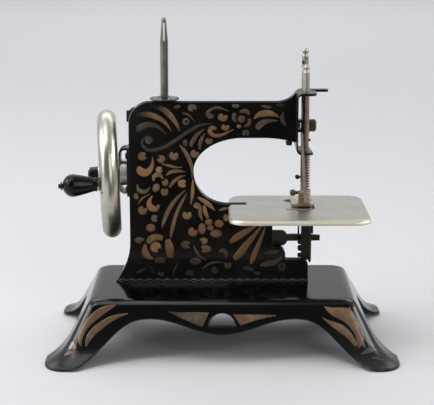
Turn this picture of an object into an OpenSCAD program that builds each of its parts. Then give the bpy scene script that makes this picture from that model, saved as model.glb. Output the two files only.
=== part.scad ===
// Toy sewing machine: pressed-steel base, C-shaped body pan, hand wheel, levers, needle and presser bars.
// Millimetres. Origin at the middle of the feet on the table, X to the head, Y to the open back, Z up.

/* [Base] */
// half length of the base top
base_half_len = 64.3; // [50:0.1:80]
// half depth of the base top
base_half_dep = 34.2; // [26:0.1:40]
// height of the base top above the table
base_h = 28; // [24:0.5:36]
// thickness of the pressed sheet
base_wall = 1.2; // [0.8:0.1:2]
// how far the toes reach out past the base top along X
toe_out_x = 18.2; // [10:0.1:24]
// how far the toes reach out past the base top along Y
toe_out_y = 18; // [10:0.1:24]
// rounding of the base's four corners seen from above
base_corner_r = 4.5; // [3:0.5:8]
// rounding of each toe seen from above
toe_corner_r = 10.5; // [4:0.5:12]
// rounding of the top edge
base_edge_r = 5.5; // [3:0.5:8]
// lean of the straight wall below that edge
wall_lean = 28.5; // [20:0.5:35]
// height where the legs begin to flare
knee_z = 10.1; // [7:0.1:14]
// top of the apron's arches
arch_top_z = 20.1; // [14:0.1:22]
// how far the arches' tops lie from the middle
arch_x = 33.5; // [28:0.5:45]
// lowest point of the apron between the arches
apron_mid_z = 13.6; // [8:0.1:16]
// width of the flat sole under each toe's edge
toe_sole = 2; // [1.4:0.1:3]
// half width of the opening between the toes, front and back
toe_inner_x = 75.5; // [65:0.5:77]
// top of the arch in the two ends
end_arch_z = 19; // [10:0.5:21]
// half width of the end arch at the table
end_arch_y = 41; // [30:0.5:44]
// radius of the half-moon clamp hole
clamp_hole_r = 6.1; // [4:0.1:9]
// height of that hole's flat lower edge
clamp_hole_z = 17.2; // [14:0.1:19]

/* [Body] */
// thickness of the body sheet
sheet = 0.9; // [0.6:0.1:1.5]
// depth of the pan, front face to rim edge
pan_depth = 5; // [3:0.1:8]
// place of the pan's front face
pan_y = 2.4; // [-5:0.1:8]
// left edge of the column
column_x = -45; // [-60:0.1:-35]
// top of the arm
arm_top_z = 116.3; // [100:0.1:130]
// radius of the top left corner
shoulder_r = 10; // [4:0.5:20]
// right end of the arm
arm_end_x = 35.4; // [25:0.1:45]
// underside of the arm
arm_under_z = 99; // [90:0.1:108]
// left end of the C opening
throat_x = -13.8; // [-25:0.1:0]
// lower edge of the C opening
throat_low_z = 66; // [60:0.1:73]
// right edge of the lower body
lower_right_x = 24.7; // [18:0.1:32]
// top of the small lobe at the lower right
lobe_z = 44.3; // [40:0.1:50]
// right end of that lobe
lobe_x = 31.1; // [26:0.1:38]
// top of the skirt
skirt_z = 38.1; // [34:0.1:42]
// right end of the skirt
skirt_x = 42.3; // [35:0.1:50]
// radius of the skirt's forward flare
flare_r = 18; // [10:0.5:30]
// how far the column's foot spreads to the left
column_spread = 7.1; // [2:0.1:12]
// where that spread begins
spread_z = 47.6; // [42:0.1:58]

/* [Cloth plate] */
// top of the cloth plate
cloth_z = 66.1; // [60:0.1:73]
// thickness of the plate
cloth_t = 1; // [0.6:0.1:1.6]
// left end of the plate
cloth_x0 = 3.2; // [-5:0.1:12]
// right end of the plate
cloth_x1 = 70; // [55:0.1:80]
// front edge of the plate
cloth_y0 = -31.3; // [-40:0.1:-15]
// back edge of the plate
cloth_y1 = 24.5; // [12:0.1:35]
// corner radius of the plate
cloth_corner_r = 8; // [4:0.5:14]
// height of the rolled rim
cloth_rim_h = 2.3; // [2:0.1:6]
// radius of the rim's roll
cloth_roll_r = 1.9; // [1.5:0.1:3.5]
// end of the slit the body comes up through
slit_end_x = 12; // [6:0.1:20]
// left edge of the needle opening
feed_x0 = 30.8; // [24:0.1:34]
// right edge of the needle opening
feed_x1 = 44.7; // [43.6:0.1:50]
// front edge of the needle opening
feed_y0 = -9; // [-14:0.1:-7]
// back edge of the needle opening
feed_y1 = 13.5; // [12.5:0.1:18]

/* [Head] */
// sheet of the head bracket
head_t = 1.2; // [0.8:0.1:1.8]
// front edge of the head bracket
head_y0 = -5.5; // [-9:0.1:-3]
// back edge of the head bracket
head_y1 = 13.5; // [11.8:0.1:18]
// top of the upper lug
head_top_z = 121.6; // [118:0.1:128]
// underside of the lower lug
head_low_z = 91.9; // [87:0.1:95]
// outer radius of the bracket's two bends
head_bend_r = 3; // [2.2:0.1:4]
// end of the thread tongue
tongue_x = 51.4; // [46:0.1:58]
// place of the needle bar along X
needle_bar_x = 40; // [39:0.1:42]
// radius of the needle bar
needle_bar_r = 1.6; // [1.2:0.05:1.8]
// top of the needle bar's ball
needle_bar_top = 141.8; // [136:0.1:148]
// place of the presser bar along X
presser_x = 40.2; // [39:0.1:42]
// place of the presser bar along Y
presser_y = 0.5; // [-2:0.1:2]
// radius of the presser bar
presser_r = 1.5; // [1.2:0.05:1.7]
// top of the presser bar's ball
presser_top = 134.8; // [130:0.1:142]
// underside of the presser collar's spring seat is above the cloth by this much
collar_lift = 7.7; // [6:0.1:10]
// middle height of the carriage
carriage_z = 104.1; // [102:0.1:107]
// height of the carriage
carriage_h = 6; // [5:0.1:7]
// needle tip below the cloth plate's top at rest
needle_dip = 1.4; // [0:0.1:3]

/* [Spring] */
// wire of the presser spring
wire_d = 0.6; // [0.4:0.05:0.8]
// outer diameter of the presser spring
spring_od = 4.8; // [4.4:0.1:6]
// number of turns
spring_turns = 13; // [8:1:14]

/* [Levers] */
// plane of both levers and of the needle bar
works_y = 9; // [8.6:0.1:12]
// thickness of the levers
lever_t = 1.6; // [1:0.1:2]
// needle lever pivot along X
pivot_x = -17.2; // [-22:0.1:-12]
// needle lever pivot height
pivot_z = 107.2; // [104:0.1:110]
// looper lever pivot along X
looper_pivot_x = -8; // [-12:0.1:-4]
// looper lever height
looper_z = 48; // [45:0.1:52]
// end of the looper lever
looper_end_x = 48.4; // [42:0.1:54]
// half height of the looper lever's narrow end
looper_half = 1.7; // [1.4:0.1:2.4]
// place of the drive rod along X
rod_x = -34.1; // [-37:0.1:-30]
// thickness of the drive rod's strip
rod_t = 1.2; // [0.8:0.1:1.6]
// radius of the drive rod's pins
rod_pin_r = 1.2; // [0.8:0.05:1.5]

/* [Wheel] */
// outer radius of the hand wheel
wheel_r = 31.4; // [24:0.1:36]
// thickness of the wheel's round rim
rim_d = 9.2; // [6:0.1:11]
// middle of the wheel along X
wheel_x = -55.2; // [-62:0.1:-53.5]
// height of the shaft
shaft_z = 80.3; // [76:0.1:86]
// place of the shaft along Y where it passes the column's left edge
shaft_y = 11; // [10.5:0.1:14]
// radius of the shaft
shaft_r = 2.2; // [1.5:0.1:2.4]
// how far the worn shaft sits askew, seen from above
shaft_skew = 4.5; // [0:0.1:6]
// how far the wheel end of the worn shaft droops
shaft_droop = 2; // [0:0.1:3]
// distance of the handle from the shaft
handle_orbit = 23.9; // [18:0.1:25]
// greatest diameter of the handle
handle_d = 10.8; // [8:0.1:14]
// length of the wooden handle
handle_len = 16.2; // [12:0.1:22]
// radius of the handle's spindle
spindle_r = 1.1; // [0.8:0.05:1.5]
// throw of the crank
crank_throw = 2.4; // [1.5:0.1:3]

/* [Spool pin] */
// place of the spool pin along X
spool_x = -27.6; // [-34:0.1:-20]
// top of the spool pin
spool_top = 156.6; // [140:0.1:165]
// diameter of the rolled tube
spool_d = 3.8; // [2.5:0.1:5]
// diameter of the dish under the spool
dish_d = 14.4; // [10:0.1:20]
// height of the dish's hub
dish_hub_h = 2.1; // [1.5:0.1:3]

/* [Fits] */
// radial gap of turning and sliding fits
run_gap = 0.05; // [0.02:0.01:0.1]
// gap between pieces that pass each other
pass_gap = 0.3; // [0.2:0.05:0.5]

/* [Hidden] */
$fn = 64;
toe_out = (toe_out_x + toe_out_y) / 2;
corner_steps = 8;
pan_back = pan_y + pan_depth;
spool_y = pan_y + pan_depth / 2;
neck_r = spool_d / 2 - 0.3;
rod_arm = pivot_x - rod_x;
rim_sec = rim_d / 2;
rim_major = wheel_r - rim_sec;
throat_mid_z = (arm_under_z + throat_low_z) / 2;
throat_b = (arm_under_z - throat_low_z) / 2;
boss_x = rim_sec + 0.7;
grip_x = boss_x + pass_gap;
cloth_under = cloth_z - cloth_t;
web_x1 = arm_end_x + 0.8;
lever_tip_r = 1.2;
lever_tip_x = needle_bar_x - needle_bar_r - lever_tip_r - pass_gap;
carriage_x0 = web_x1 + pass_gap;
carriage_x1 = needle_bar_x + 2.5;
carriage_y = 2.6;
collar_top = cloth_z + collar_lift;
bearing_t = 1.2;
leg_x = column_x - bearing_t;
bridge_x = leg_x - 4.2;
bridge_z0 = shaft_z - 9.7;
bridge_z1 = shaft_z + 12.9;
leg_rivet_y = pan_y + 2.8;
leg_rivet_z = [bridge_z0 + 2.6, bridge_z1 - 3.5];
head_rivet_z = [arm_under_z + 3, arm_top_z - 3.3];
post_x0 = skirt_x - 3.4;
post_x1 = skirt_x + pass_gap;
post_y0 = pan_y + 0.6;
post_y1 = pan_back - 0.4;
body_screw_x = [column_x + 5, (column_x + lobe_x) / 2 + 1, lobe_x - 4.1];
bar_low_z = head_low_z - 15.4;
presser_pin_z = head_low_z + 6.5;
lever_tail_x = column_x - 1.3;
foot_strip_y = head_y0 - 1.7;
skirt_bend_z = base_h + 11;

// points of an arc or of a quarter ellipse, from angle a0 to a1
function arc(cx, cy, rx, ry, a0, a1, n) =
  [for (i = [0 : n]) let (a = a0 + (a1 - a0) * i / n) [cx + rx * cos(a), cy + ry * sin(a)]];

// a plan view raised along Z, laid so that its second coordinate runs along Z and it is raised along Y
module upright(y0, y1) translate([0, y1, 0]) rotate([90, 0, 0]) linear_extrude(y1 - y0) children();

// a profile of Y and Z swept along X
module along_x(x0, x1) translate([x0, 0, 0]) rotate([90, 0, 90]) linear_extrude(x1 - x0) children();

// a round bar along X, or along Y
module bar_x(x0, x1, r) translate([x0, 0, 0]) rotate([0, 90, 0]) cylinder(h = x1 - x0, r = r);
module bar_y(y0, y1, r) translate([0, y0, 0]) rotate([-90, 0, 0]) cylinder(h = y1 - y0, r = r);

// the shaft's own frame: its X runs inwards along the shaft, its origin is at the column's left edge
module on_shaft() translate([column_x, shaft_y, shaft_z]) rotate([0, -shaft_droop, shaft_skew]) children();

// outward offset of the base wall at its outer face, and its height, from the top edge to the toe
edge_out = -base_edge_r * (1 - cos(wall_lean));
edge_low = base_h - base_edge_r * (1 - sin(wall_lean));
knee_out = edge_out + (edge_low - knee_z) * tan(wall_lean);
flare_out = toe_out - knee_out;
flare_down = knee_z - base_wall;
flare_turn = 2 * (atan(flare_out / flare_down) - wall_lean);
leg_flare_r = norm([flare_out, flare_down]) / (2 * sin(flare_turn / 2));
base_profile = concat(
  [for (i = [0 : 8]) let (a = (90 - wall_lean) * i / 8) [base_edge_r * (sin(a) - 1), base_h - base_edge_r * (1 - cos(a))]],
  [for (i = [0 : 8]) let (a = wall_lean + flare_turn * i / 8)
    [knee_out + leg_flare_r * (cos(wall_lean) - cos(a)), knee_z - leg_flare_r * (sin(a) - sin(wall_lean))]]);

// the same profile moved in by the wall, square to the wall
function profile_in(i) = let (
  n = len(base_profile) - 1, p = base_profile[max(i - 1, 0)], q = base_profile[min(i + 1, n)],
  d = i == 0 ? [1, 0] : (q - p) / norm(q - p))
  base_profile[i] + base_wall * [d[1], -d[0]];

// one ring of the base at an offset and a height
function base_ring(o, z) = let (
  r = base_corner_r + (toe_corner_r - base_corner_r) * max(o, 0) / toe_out,
  hx = base_half_len + o * toe_out_x / toe_out - r,
  hy = base_half_dep + o * toe_out_y / toe_out - r)
  [for (c = [[1, 1, 0], [-1, 1, 90], [-1, -1, 180], [1, -1, 270]], k = [0 : corner_steps])
    let (a = c[2] + k * 90 / corner_steps) [c[0] * hx + r * cos(a), c[1] * hy + r * sin(a), z]];

module base_shell() {
  n = len(base_profile);
  rings = concat([for (p = base_profile) base_ring(p[0], p[1])],
    [base_ring(toe_out, 0), base_ring(toe_out - toe_sole, 0)],
    [for (i = [n - 2 : -1 : 0]) let (p = profile_in(i)) base_ring(p[0], p[1])]);
  m = 4 * (corner_steps + 1);
  last = len(rings) - 1;
  polyhedron([for (r = rings, p = r) p], concat(
    [[for (k = [m - 1 : -1 : 0]) k]],
    [for (r = [0 : last - 1], k = [0 : m - 1]) let (a = r * m + k, b = r * m + (k + 1) % m) [a, b, b + m]],
    [for (r = [0 : last - 1], k = [0 : m - 1]) let (a = r * m + k, b = r * m + (k + 1) % m) [a, b + m, a + m]],
    [[for (k = [0 : m - 1]) last * m + k]]));
}

// an edge that falls from 1 to 0 as t goes from 0 to 1, level at both ends and steepest past the middle
function fall(t) = let (u = t - 0.055 * sin(360 * pow(t, 0.85))) 1 - u * u * (3 - 2 * u);

// height of the apron's lower edge at a place along X: a bump in the middle, an arch on either side
function apron_z(x) = abs(x) < arch_x
  ? apron_mid_z + (arch_top_z - apron_mid_z) * (1 - cos(180 * abs(x) / arch_x)) / 2
  : arch_top_z * fall((abs(x) - arch_x) / (toe_inner_x - arch_x));

module base() color([0.03, 0.03, 0.03]) difference() {
  base_shell();
  for (y = [-60, 12]) upright(y, y + 48) polygon(concat([[-toe_inner_x, -1]],
    [for (i = [-28 : 28]) [toe_inner_x * i / 28, apron_z(toe_inner_x * i / 28)]], [[toe_inner_x, -1]]));
  along_x(-90, 90) polygon(concat([[-end_arch_y, -1]],
    [for (i = [-20 : 20]) [end_arch_y * i / 20, end_arch_z * fall(abs(i) / 20)]], [[end_arch_y, -1]]));
  upright(-60, 0) polygon(arc(0, clamp_hole_z, clamp_hole_r, clamp_hole_r * cos(wall_lean), 0, 180, 24));
  for (x = body_screw_x) translate([x, spool_y, base_h - 5]) cylinder(h = 10, r = 1.5);
}

// outline of the body pan drawn in X and Z, moved in by d
function spread_phi() = 2 * atan(column_spread / (spread_z - base_h));
function spread_r() = (spread_z - base_h) / sin(spread_phi());
function body_outline(d) = concat(
  arc(column_x - spread_r(), spread_z, spread_r() + d, spread_r() + d,
    -asin((spread_z - base_h - d) / (spread_r() + d)), 0, 10),
  arc(column_x + shoulder_r, arm_top_z - shoulder_r, shoulder_r - d, shoulder_r - d, 180, 90, 12),
  arc(arm_end_x - 9.1, arm_top_z + 10.9, 10.9 + d, 10.9 + d, -90, -acos((9.1 - d) / (10.9 + d)), 10),
  arc(19.7, arm_under_z - 57.8, 57.8 + d, 57.8 + d, acos((arm_end_x - d - 19.7) / (57.8 + d)), 90, 6),
  arc(throat_x + 24.1, throat_mid_z, 24.1 + d, throat_b + d, 95, 180, 16),
  arc(throat_x + throat_b, throat_mid_z, throat_b + d, throat_b + d, 185, 270, 14),
  [[slit_end_x - 0.3 - d, throat_low_z - d], [slit_end_x - 0.3 - d, cloth_under - d],
   [lower_right_x - d, cloth_under - d]],
  arc(lower_right_x + 2, lobe_z + 2, 2 + d, 2 + d, 180, 270, 5),
  arc(lobe_x - 3, lobe_z - 3, 3 - d, 3 - d, 90, 0, 6),
  arc(lobe_x + 1.5, skirt_z + 1.5, 1.5 + d, 1.5 + d, 180, 270, 4),
  arc(skirt_x - 2, skirt_z - 2, 2 - d, 2 - d, 90, 0, 5),
  [[skirt_x - d, base_h + d]]);

// everything behind the pan's front face, or behind the back of its sheet
module behind_front(d) along_x(-80, 80) polygon(concat(
  [[40, base_h - 5], [40, 150], [pan_y + d, 150]],
  arc(pan_y - flare_r, skirt_bend_z, flare_r + d, flare_r + d, 0, -37.7, 12),
  [[pan_y + d - flare_r * 0.209, base_h - 5]]));

module body_plate() color([0.03, 0.03, 0.03]) difference() {
  intersection() {
    upright(-10, pan_back) polygon(body_outline(0));
    behind_front(0);
  }
  intersection() {
    upright(-10, pan_back + 1) polygon(body_outline(sheet));
    behind_front(sheet);
  }
  for (x = body_screw_x) translate([x, spool_y, base_h - 1]) cylinder(h = 3, r = 1.5);
  translate([pivot_x, 0, pivot_z]) bar_y(pan_y - 1, pan_y + 2, 1.5);
  translate([spool_x, spool_y, arm_top_z - 3]) cylinder(h = 5, r = 1.2);
  for (z = head_rivet_z) translate([arm_end_x - 3, spool_y, z]) bar_x(0, 5, 0.8);
  for (z = leg_rivet_z) translate([column_x - 2, leg_rivet_y, z]) bar_x(0, 5, 0.9);
  translate([arm_end_x - 3, spool_y, arm_under_z - 3]) cylinder(h = 4, r = 0.9);
}

module body_screws() color([0.35, 0.34, 0.3]) for (x = body_screw_x) translate([x, spool_y, base_h + sheet]) {
  difference() {
    cylinder(h = 1.5, r1 = 2.4, r2 = 1.9);
    translate([-3, -0.3, 0.8]) cube([6, 0.6, 2]);
  }
  translate([0, 0, -6]) cylinder(h = 6, r = 1.5);
}

module body_nuts() color([0.3, 0.29, 0.26]) for (x = body_screw_x)
  translate([x, spool_y, base_h - base_wall - 2]) difference() {
    cylinder(h = 2, r = 3, $fn = 6);
    translate([0, 0, -1]) cylinder(h = 4, r = 1.5);
  }

// plan of the upper lug: front lobe and thread tongue
module upper_lug_plan() difference() {
  union() {
    translate([arm_end_x, head_y0]) square([5, head_y1 - head_y0]);
    translate([arm_end_x, head_y0]) square([6.5, 12]);
    translate([arm_end_x, head_y0 + 3]) square([9.5, 6]);
    for (y = [head_y0 + 3, head_y0 + 9]) translate([arm_end_x + 6.5, y]) circle(3);
    translate([arm_end_x, head_y1 - 7.5]) square([7.5, 7.5]);
    translate([arm_end_x, head_y1 - 4.5]) square([tongue_x - arm_end_x - 1.8, 3.6]);
    translate([tongue_x - 1.8, head_y1 - 2.7]) circle(1.8);
  }
  translate([tongue_x - 2.4, head_y1 - 2.7]) circle(0.7);
}

// plan of the lower lug, narrower at the back
module lower_lug_plan() union() {
  polygon([[arm_end_x, head_y0], [presser_x + 1.8, head_y0], [presser_x + 3.3, head_y0 + 1.5],
    [presser_x + 2.3, head_y1 - 1.5], [presser_x + 0.8, head_y1], [arm_end_x, head_y1]]);
}

module head_bracket() color([0.05, 0.05, 0.05]) difference() {
  intersection() {
    upright(head_y0, head_y1) polygon(concat(
      arc(arm_end_x + head_bend_r, head_top_z - head_bend_r, head_bend_r, head_bend_r, 90, 180, 12),
      arc(arm_end_x + head_bend_r, head_low_z + head_bend_r, head_bend_r, head_bend_r, 180, 270, 12),
      [[tongue_x + 1, head_low_z], [tongue_x + 1, head_top_z]]));
    union() {
      translate([0, 0, head_top_z - head_t]) linear_extrude(head_t) upper_lug_plan();
      translate([0, 0, head_low_z]) linear_extrude(head_t) lower_lug_plan();
      upright(head_y0, head_y1) difference() {
        translate([arm_end_x, head_low_z]) square([web_x1 + 1.5 - arm_end_x, head_top_z - head_low_z]);
        translate([web_x1, head_low_z + head_t + 1.5]) square([5, head_top_z - head_low_z - 2 * head_t - 3]);
        translate([web_x1 + 1.5, head_top_z - head_t - 1.5]) circle(1.5);
        translate([web_x1 + 1.5, head_low_z + head_t + 1.5]) circle(1.5);
      }
    }
  }
  translate([needle_bar_x, works_y, head_low_z - 1]) cylinder(h = 40, r = needle_bar_r + run_gap);
  translate([presser_x, presser_y, head_low_z - 1]) cylinder(h = 40, r = presser_r + run_gap);
  translate([arm_end_x - 1, works_y - lever_t / 2 - 0.5, head_low_z + 2.4])
    cube([4, lever_t + 1, 20.4]);
  for (z = head_rivet_z) translate([arm_end_x - 1, spool_y, z]) bar_x(0, 5, 0.8);
}

module head_rivets() color([0.06, 0.06, 0.06]) for (z = head_rivet_z) translate([arm_end_x, spool_y, z]) {
  bar_x(-sheet, 0.8, 0.8);
  bar_x(0.8, 1.4, 1.3);
  bar_x(-sheet - 0.6, -sheet, 1.3);
}

module head_screw() color([0.06, 0.06, 0.06]) translate([arm_end_x - 3, spool_y, arm_under_z - 3.9]) {
  difference() {
    cylinder(h = 2, r1 = 1.3, r2 = 1.8);
    translate([-3, -0.25, -1]) cube([6, 0.5, 1.6]);
  }
  cylinder(h = 4.6, r = 0.9);
}

// section of the cloth plate's rolled rim: X outwards from where the roll begins, Y is height
module roll_section() {
  difference() {
    circle(cloth_roll_r);
    circle(cloth_roll_r - cloth_t);
    translate([-5, -10]) square([5, 20]);
    translate([-5, -10]) square([10, 10]);
  }
  translate([cloth_roll_r - cloth_t, cloth_roll_r - cloth_rim_h]) square([cloth_t, cloth_rim_h - cloth_roll_r]);
}

module cloth_plate() color([0.7, 0.68, 0.62]) {
  inset = cloth_corner_r - cloth_roll_r;
  x0 = cloth_x0 + cloth_roll_r; x1 = cloth_x1 - cloth_roll_r;
  y0 = cloth_y0 + cloth_roll_r; y1 = cloth_y1 - cloth_roll_r;
  difference() {
    union() {
      translate([0, 0, cloth_under]) linear_extrude(cloth_t) union() {
        translate([x0 + inset, y0]) square([x1 - x0 - 2 * inset, y1 - y0]);
        translate([x0, y0 + inset]) square([x1 - x0, y1 - y0 - 2 * inset]);
        for (x = [x0 + inset, x1 - inset], y = [y0 + inset, y1 - inset]) translate([x, y]) circle(inset);
      }
      for (c = [[x1 - inset, y1 - inset, 0], [x0 + inset, y1 - inset, 90], [x0 + inset, y0 + inset, 180],
          [x1 - inset, y0 + inset, 270]])
        translate([c[0], c[1], cloth_z - cloth_roll_r]) rotate([0, 0, c[2]]) rotate_extrude(angle = 90)
          translate([inset, 0]) roll_section();
      for (s = [[x1 - inset, y0, -90, x1 - x0 - 2 * inset], [x1, y1 - inset, 0, y1 - y0 - 2 * inset],
          [x0 + inset, y1, 90, x1 - x0 - 2 * inset], [x0, y0 + inset, 180, y1 - y0 - 2 * inset]])
        translate([s[0], s[1], cloth_z - cloth_roll_r]) rotate([0, 0, s[2]]) rotate([90, 0, 0])
          linear_extrude(s[3]) roll_section();
    }
    translate([cloth_x0 - 1, pan_y - pass_gap, cloth_under - 6])
      cube([slit_end_x - cloth_x0 + 1, pan_depth + 2 * pass_gap, 10]);
    translate([feed_x0, feed_y0, cloth_under - 1]) cube([feed_x1 - feed_x0, feed_y1 - feed_y0, 4]);
    thread_slot();
  }
}

// pointed end of the opening, left of the foot
module thread_slot() translate([0, 0, cloth_under - 1]) linear_extrude(4)
  polygon([[feed_x0 - 0.8, feed_y1 - 0.4], [feed_x0 + 3.7, works_y + 0.4], [feed_x0 + 3.7, feed_y1 + 0.9]]);

module needle_plate() color([0.66, 0.64, 0.58]) difference() {
  translate([feed_x0, feed_y0 + 2.2, cloth_under]) cube([feed_x1 - feed_x0 - 1.2, feed_y1 - feed_y0 - 2.6, cloth_t]);
  translate([needle_bar_x, works_y, cloth_under - 1]) cylinder(h = 4, r = 1.2);
  translate([needle_bar_x - 4, works_y - 1.2, cloth_under - 1]) cube([4, 2.4, 4]);
  thread_slot();
}

module plate_post() color([0.04, 0.04, 0.04]) union() {
  translate([post_x0, post_y0, skirt_z]) cube([post_x1 - post_x0, post_y1 - post_y0, cloth_under - skirt_z]);
  translate([post_x0, post_y0, looper_z + 3.4]) cube([5.8, post_y1 - post_y0, cloth_under - looper_z - 3.4]);
  translate([feed_x0 - 3, post_y0 - 0.5, cloth_under - 1.2]) cube([feed_x1 - feed_x0 + 6, 5, 1.2]);
}

module post_screws() color([0.05, 0.05, 0.05])
  for (s = [[8.6, 1.2], [5.5, 1.5], [1.9, 1.1]]) translate([post_x0, (post_y0 + post_y1) / 2, skirt_z + s[0]])
    intersection() {
    bar_x(-1.7, 0, s[1]);
    translate([0.2, 0, 0]) sphere(1.9);
  }

module guide_strip() color([0.42, 0.41, 0.34]) upright(post_y0 - 0.8, post_y0) polygon(concat(
  [[post_x1 + 1, cloth_under - 1.2], [post_x1, cloth_under - 1.2], [post_x1, looper_z + 2], [post_x1 - 0.2, looper_z]],
  arc(post_x1 + 0.5, skirt_z + 0.1, 0.7, 1.2, 180, 360, 8), [[post_x1 + 1.2, looper_z], [post_x1 + 1, looper_z + 2]]));

module bearing_bracket() color([0.04, 0.04, 0.04]) difference() {
  along_x(leg_x, column_x) union() {
    translate([pan_y + 0.8, bridge_z0 - 0.8]) square([12, bridge_z1 - bridge_z0 + 1.4]);
    translate([pan_y + 12.8, bridge_z0 + 4]) square([4, bridge_z1 - bridge_z0 - 8]);
    for (z = [bridge_z0 + 3.2, bridge_z1 - 3.4]) translate([pan_y + 12.8, z]) circle(4);
  }
  on_shaft() bar_x(-10, 5, shaft_r + 0.6);
  for (z = leg_rivet_z) translate([leg_x - 1, leg_rivet_y, z]) bar_x(0, 4, 0.9);
}

module bearing_bridge() color([0.3, 0.26, 0.2]) difference() {
  upright(shaft_y - 4.5, shaft_y + 4.5) difference() {
    union() {
      translate([bridge_x + 3, bridge_z0]) square([leg_x - bridge_x - 3, bridge_z1 - bridge_z0]);
      translate([bridge_x, bridge_z0 + 3]) square([leg_x - bridge_x, bridge_z1 - bridge_z0 - 6]);
      for (z = [bridge_z0 + 3, bridge_z1 - 3]) translate([bridge_x + 3, z]) circle(3);
    }
    translate([bridge_x + 3, bridge_z0 + 1]) square([leg_x - bridge_x, bridge_z1 - bridge_z0 - 2]);
    translate([bridge_x + 1, bridge_z0 + 3]) square([leg_x - bridge_x, bridge_z1 - bridge_z0 - 6]);
    for (z = [bridge_z0 + 3, bridge_z1 - 3]) translate([bridge_x + 3, z]) circle(2);
    translate([leg_x, bridge_z0 - 1]) square([10, bridge_z1 - bridge_z0 + 2]);
  }
  on_shaft() bar_x(-10, 5, shaft_r + 0.6);
}

module bearing_bush() color([0.68, 0.66, 0.6]) translate([0, shaft_y - 0.2, shaft_z + 0.1]) difference() {
  bar_x(bridge_x + 1, leg_x, 6.3);
  translate([0, 0.2 - shaft_y, -0.1 - shaft_z]) on_shaft() bar_x(-10, 5, shaft_r + run_gap);
}

module bracket_rivets() color([0.05, 0.05, 0.05]) for (z = leg_rivet_z) translate([leg_x, leg_rivet_y, z]) {
  bar_x(0, bearing_t + sheet, 0.9);
  bar_x(-0.7, 0, 1.5);
  translate([bearing_t + sheet, 0, 0]) bar_x(0, 0.7, 1.5);
}

module spool_pin() color([0.68, 0.66, 0.6]) translate([spool_x, spool_y, 0]) difference() {
  slot_z = spool_top - 12;
  union() {
    translate([0, 0, arm_top_z]) cylinder(h = dish_hub_h + pass_gap, r = neck_r);
    translate([0, 0, arm_top_z + dish_hub_h + pass_gap])
      cylinder(h = slot_z - arm_top_z - dish_hub_h - pass_gap, r = spool_d / 2);
    translate([0, 0, slot_z]) cylinder(h = spool_top - 1.1 - slot_z, r1 = spool_d / 2, r2 = 1.1);
    translate([0, 0, spool_top - 1.1]) sphere(1.1);
    translate([0, 0, arm_top_z - sheet]) cylinder(h = sheet, r = 1.2);
    translate([0, 0, arm_top_z - sheet - 0.8]) cylinder(h = 0.8, r = 1.5);
  }
  translate([-0.35, -5, slot_z + 0.8]) cube([0.7, 10, 8.6]);
  translate([0.9, -5, arm_top_z + 4]) cube([0.25, 5, slot_z - arm_top_z - 3]);
}

module spool_dish() color([0.62, 0.6, 0.54]) translate([spool_x, spool_y, arm_top_z]) rotate_extrude() difference() {
  polygon([[neck_r, 0], [4, 0], [dish_d / 2 - 0.4, 1.1], [dish_d / 2, 1.5], [dish_d / 2 - 0.3, 1.9],
    [dish_d / 2 - 0.7, 1.9], [4.2, 0.9], [3.4, 1.1], [3, dish_hub_h - 0.2], [neck_r, dish_hub_h]]);
}

module lever_rivet() color([0.06, 0.06, 0.06]) translate([pivot_x, 0, pivot_z]) {
  bar_y(pan_y - 0.8, pan_y, 2.2);
  bar_y(pan_y, pan_y + sheet, 1.5);
  bar_y(pan_y + sheet, works_y - lever_t / 2 - pass_gap, 3);
  bar_y(works_y - lever_t / 2 - pass_gap, works_y + lever_t / 2 + pass_gap, 1.8);
  bar_y(works_y + lever_t / 2 + pass_gap, works_y + lever_t / 2 + pass_gap + 1.2, 3);
}

module looper_stud() color([0.3, 0.29, 0.26]) translate([looper_pivot_x, 0, looper_z]) {
  bar_y(pan_y + sheet, works_y - lever_t / 2 - pass_gap, 3);
  bar_y(works_y - lever_t / 2 - pass_gap, works_y + lever_t / 2 + pass_gap, 1.8);
  bar_y(works_y + lever_t / 2 + pass_gap, works_y + lever_t / 2 + pass_gap + 1.2, 3);
}

// the wheel's plane: children drawn about the wheel's middle, axis along the shaft
module on_wheel() on_shaft() translate([wheel_x - column_x, 0, 0]) children();

module hand_wheel() color([0.7, 0.68, 0.62]) on_wheel() difference() {
  union() {
    rotate([0, 90, 0]) rotate_extrude($fn = 96) translate([rim_major, 0]) circle(rim_sec);
    bar_x(-5.4, 3.6, 5);
    for (a = [0, 90, 180, 270]) rotate([a, 0, 0]) translate([-0.6, 0, 4]) {
      translate([-1.6, 0, 0]) linear_extrude(rim_major - 5) union() {
        square([3.2, 3.4], center = true);
        for (y = [-1.7, 1.7]) translate([0, y]) circle(1.6);
      }
    }
    translate([0, -handle_orbit, 0]) bar_x(-boss_x, 0.6, 3.2);
  }
  bar_x(-10, 10, shaft_r);
  translate([0, -handle_orbit, 0]) bar_x(-10, 10, spindle_r);
}

module main_shaft() color([0.5, 0.48, 0.44]) on_shaft() bar_x(wheel_x - column_x - 10.4, 6.6, shaft_r);

module crank_disc() color([0.45, 0.43, 0.39]) on_shaft() difference() {
  union() {
    bar_x(4.6, 6.6, 5);
    translate([0, crank_throw, 0]) bar_x(6.6, rod_x - rod_t / 2 - column_x - 0.6, rod_pin_r);
  }
  bar_x(4, 7, shaft_r);
}

module axle_nut() color([0.07, 0.07, 0.06]) on_wheel() difference() {
  intersection() {
    translate([-9.6, -3.2, -3.2]) cube([4.2, 6.4, 6.4]);
    translate([-9.6, 0, 0]) rotate([0, 90, 0]) cylinder(h = 4.2, r1 = 3.6, r2 = 4.6);
  }
  bar_x(-12, 0, shaft_r);
}

module handle_spindle() color([0.4, 0.39, 0.36]) on_wheel() translate([0, -handle_orbit, 0]) {
  bar_x(-grip_x - handle_len - 2.2, 0.6, spindle_r);
  bar_x(-grip_x - handle_len - 1, -grip_x - handle_len - pass_gap - 0.1, 2.1);
}

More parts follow.
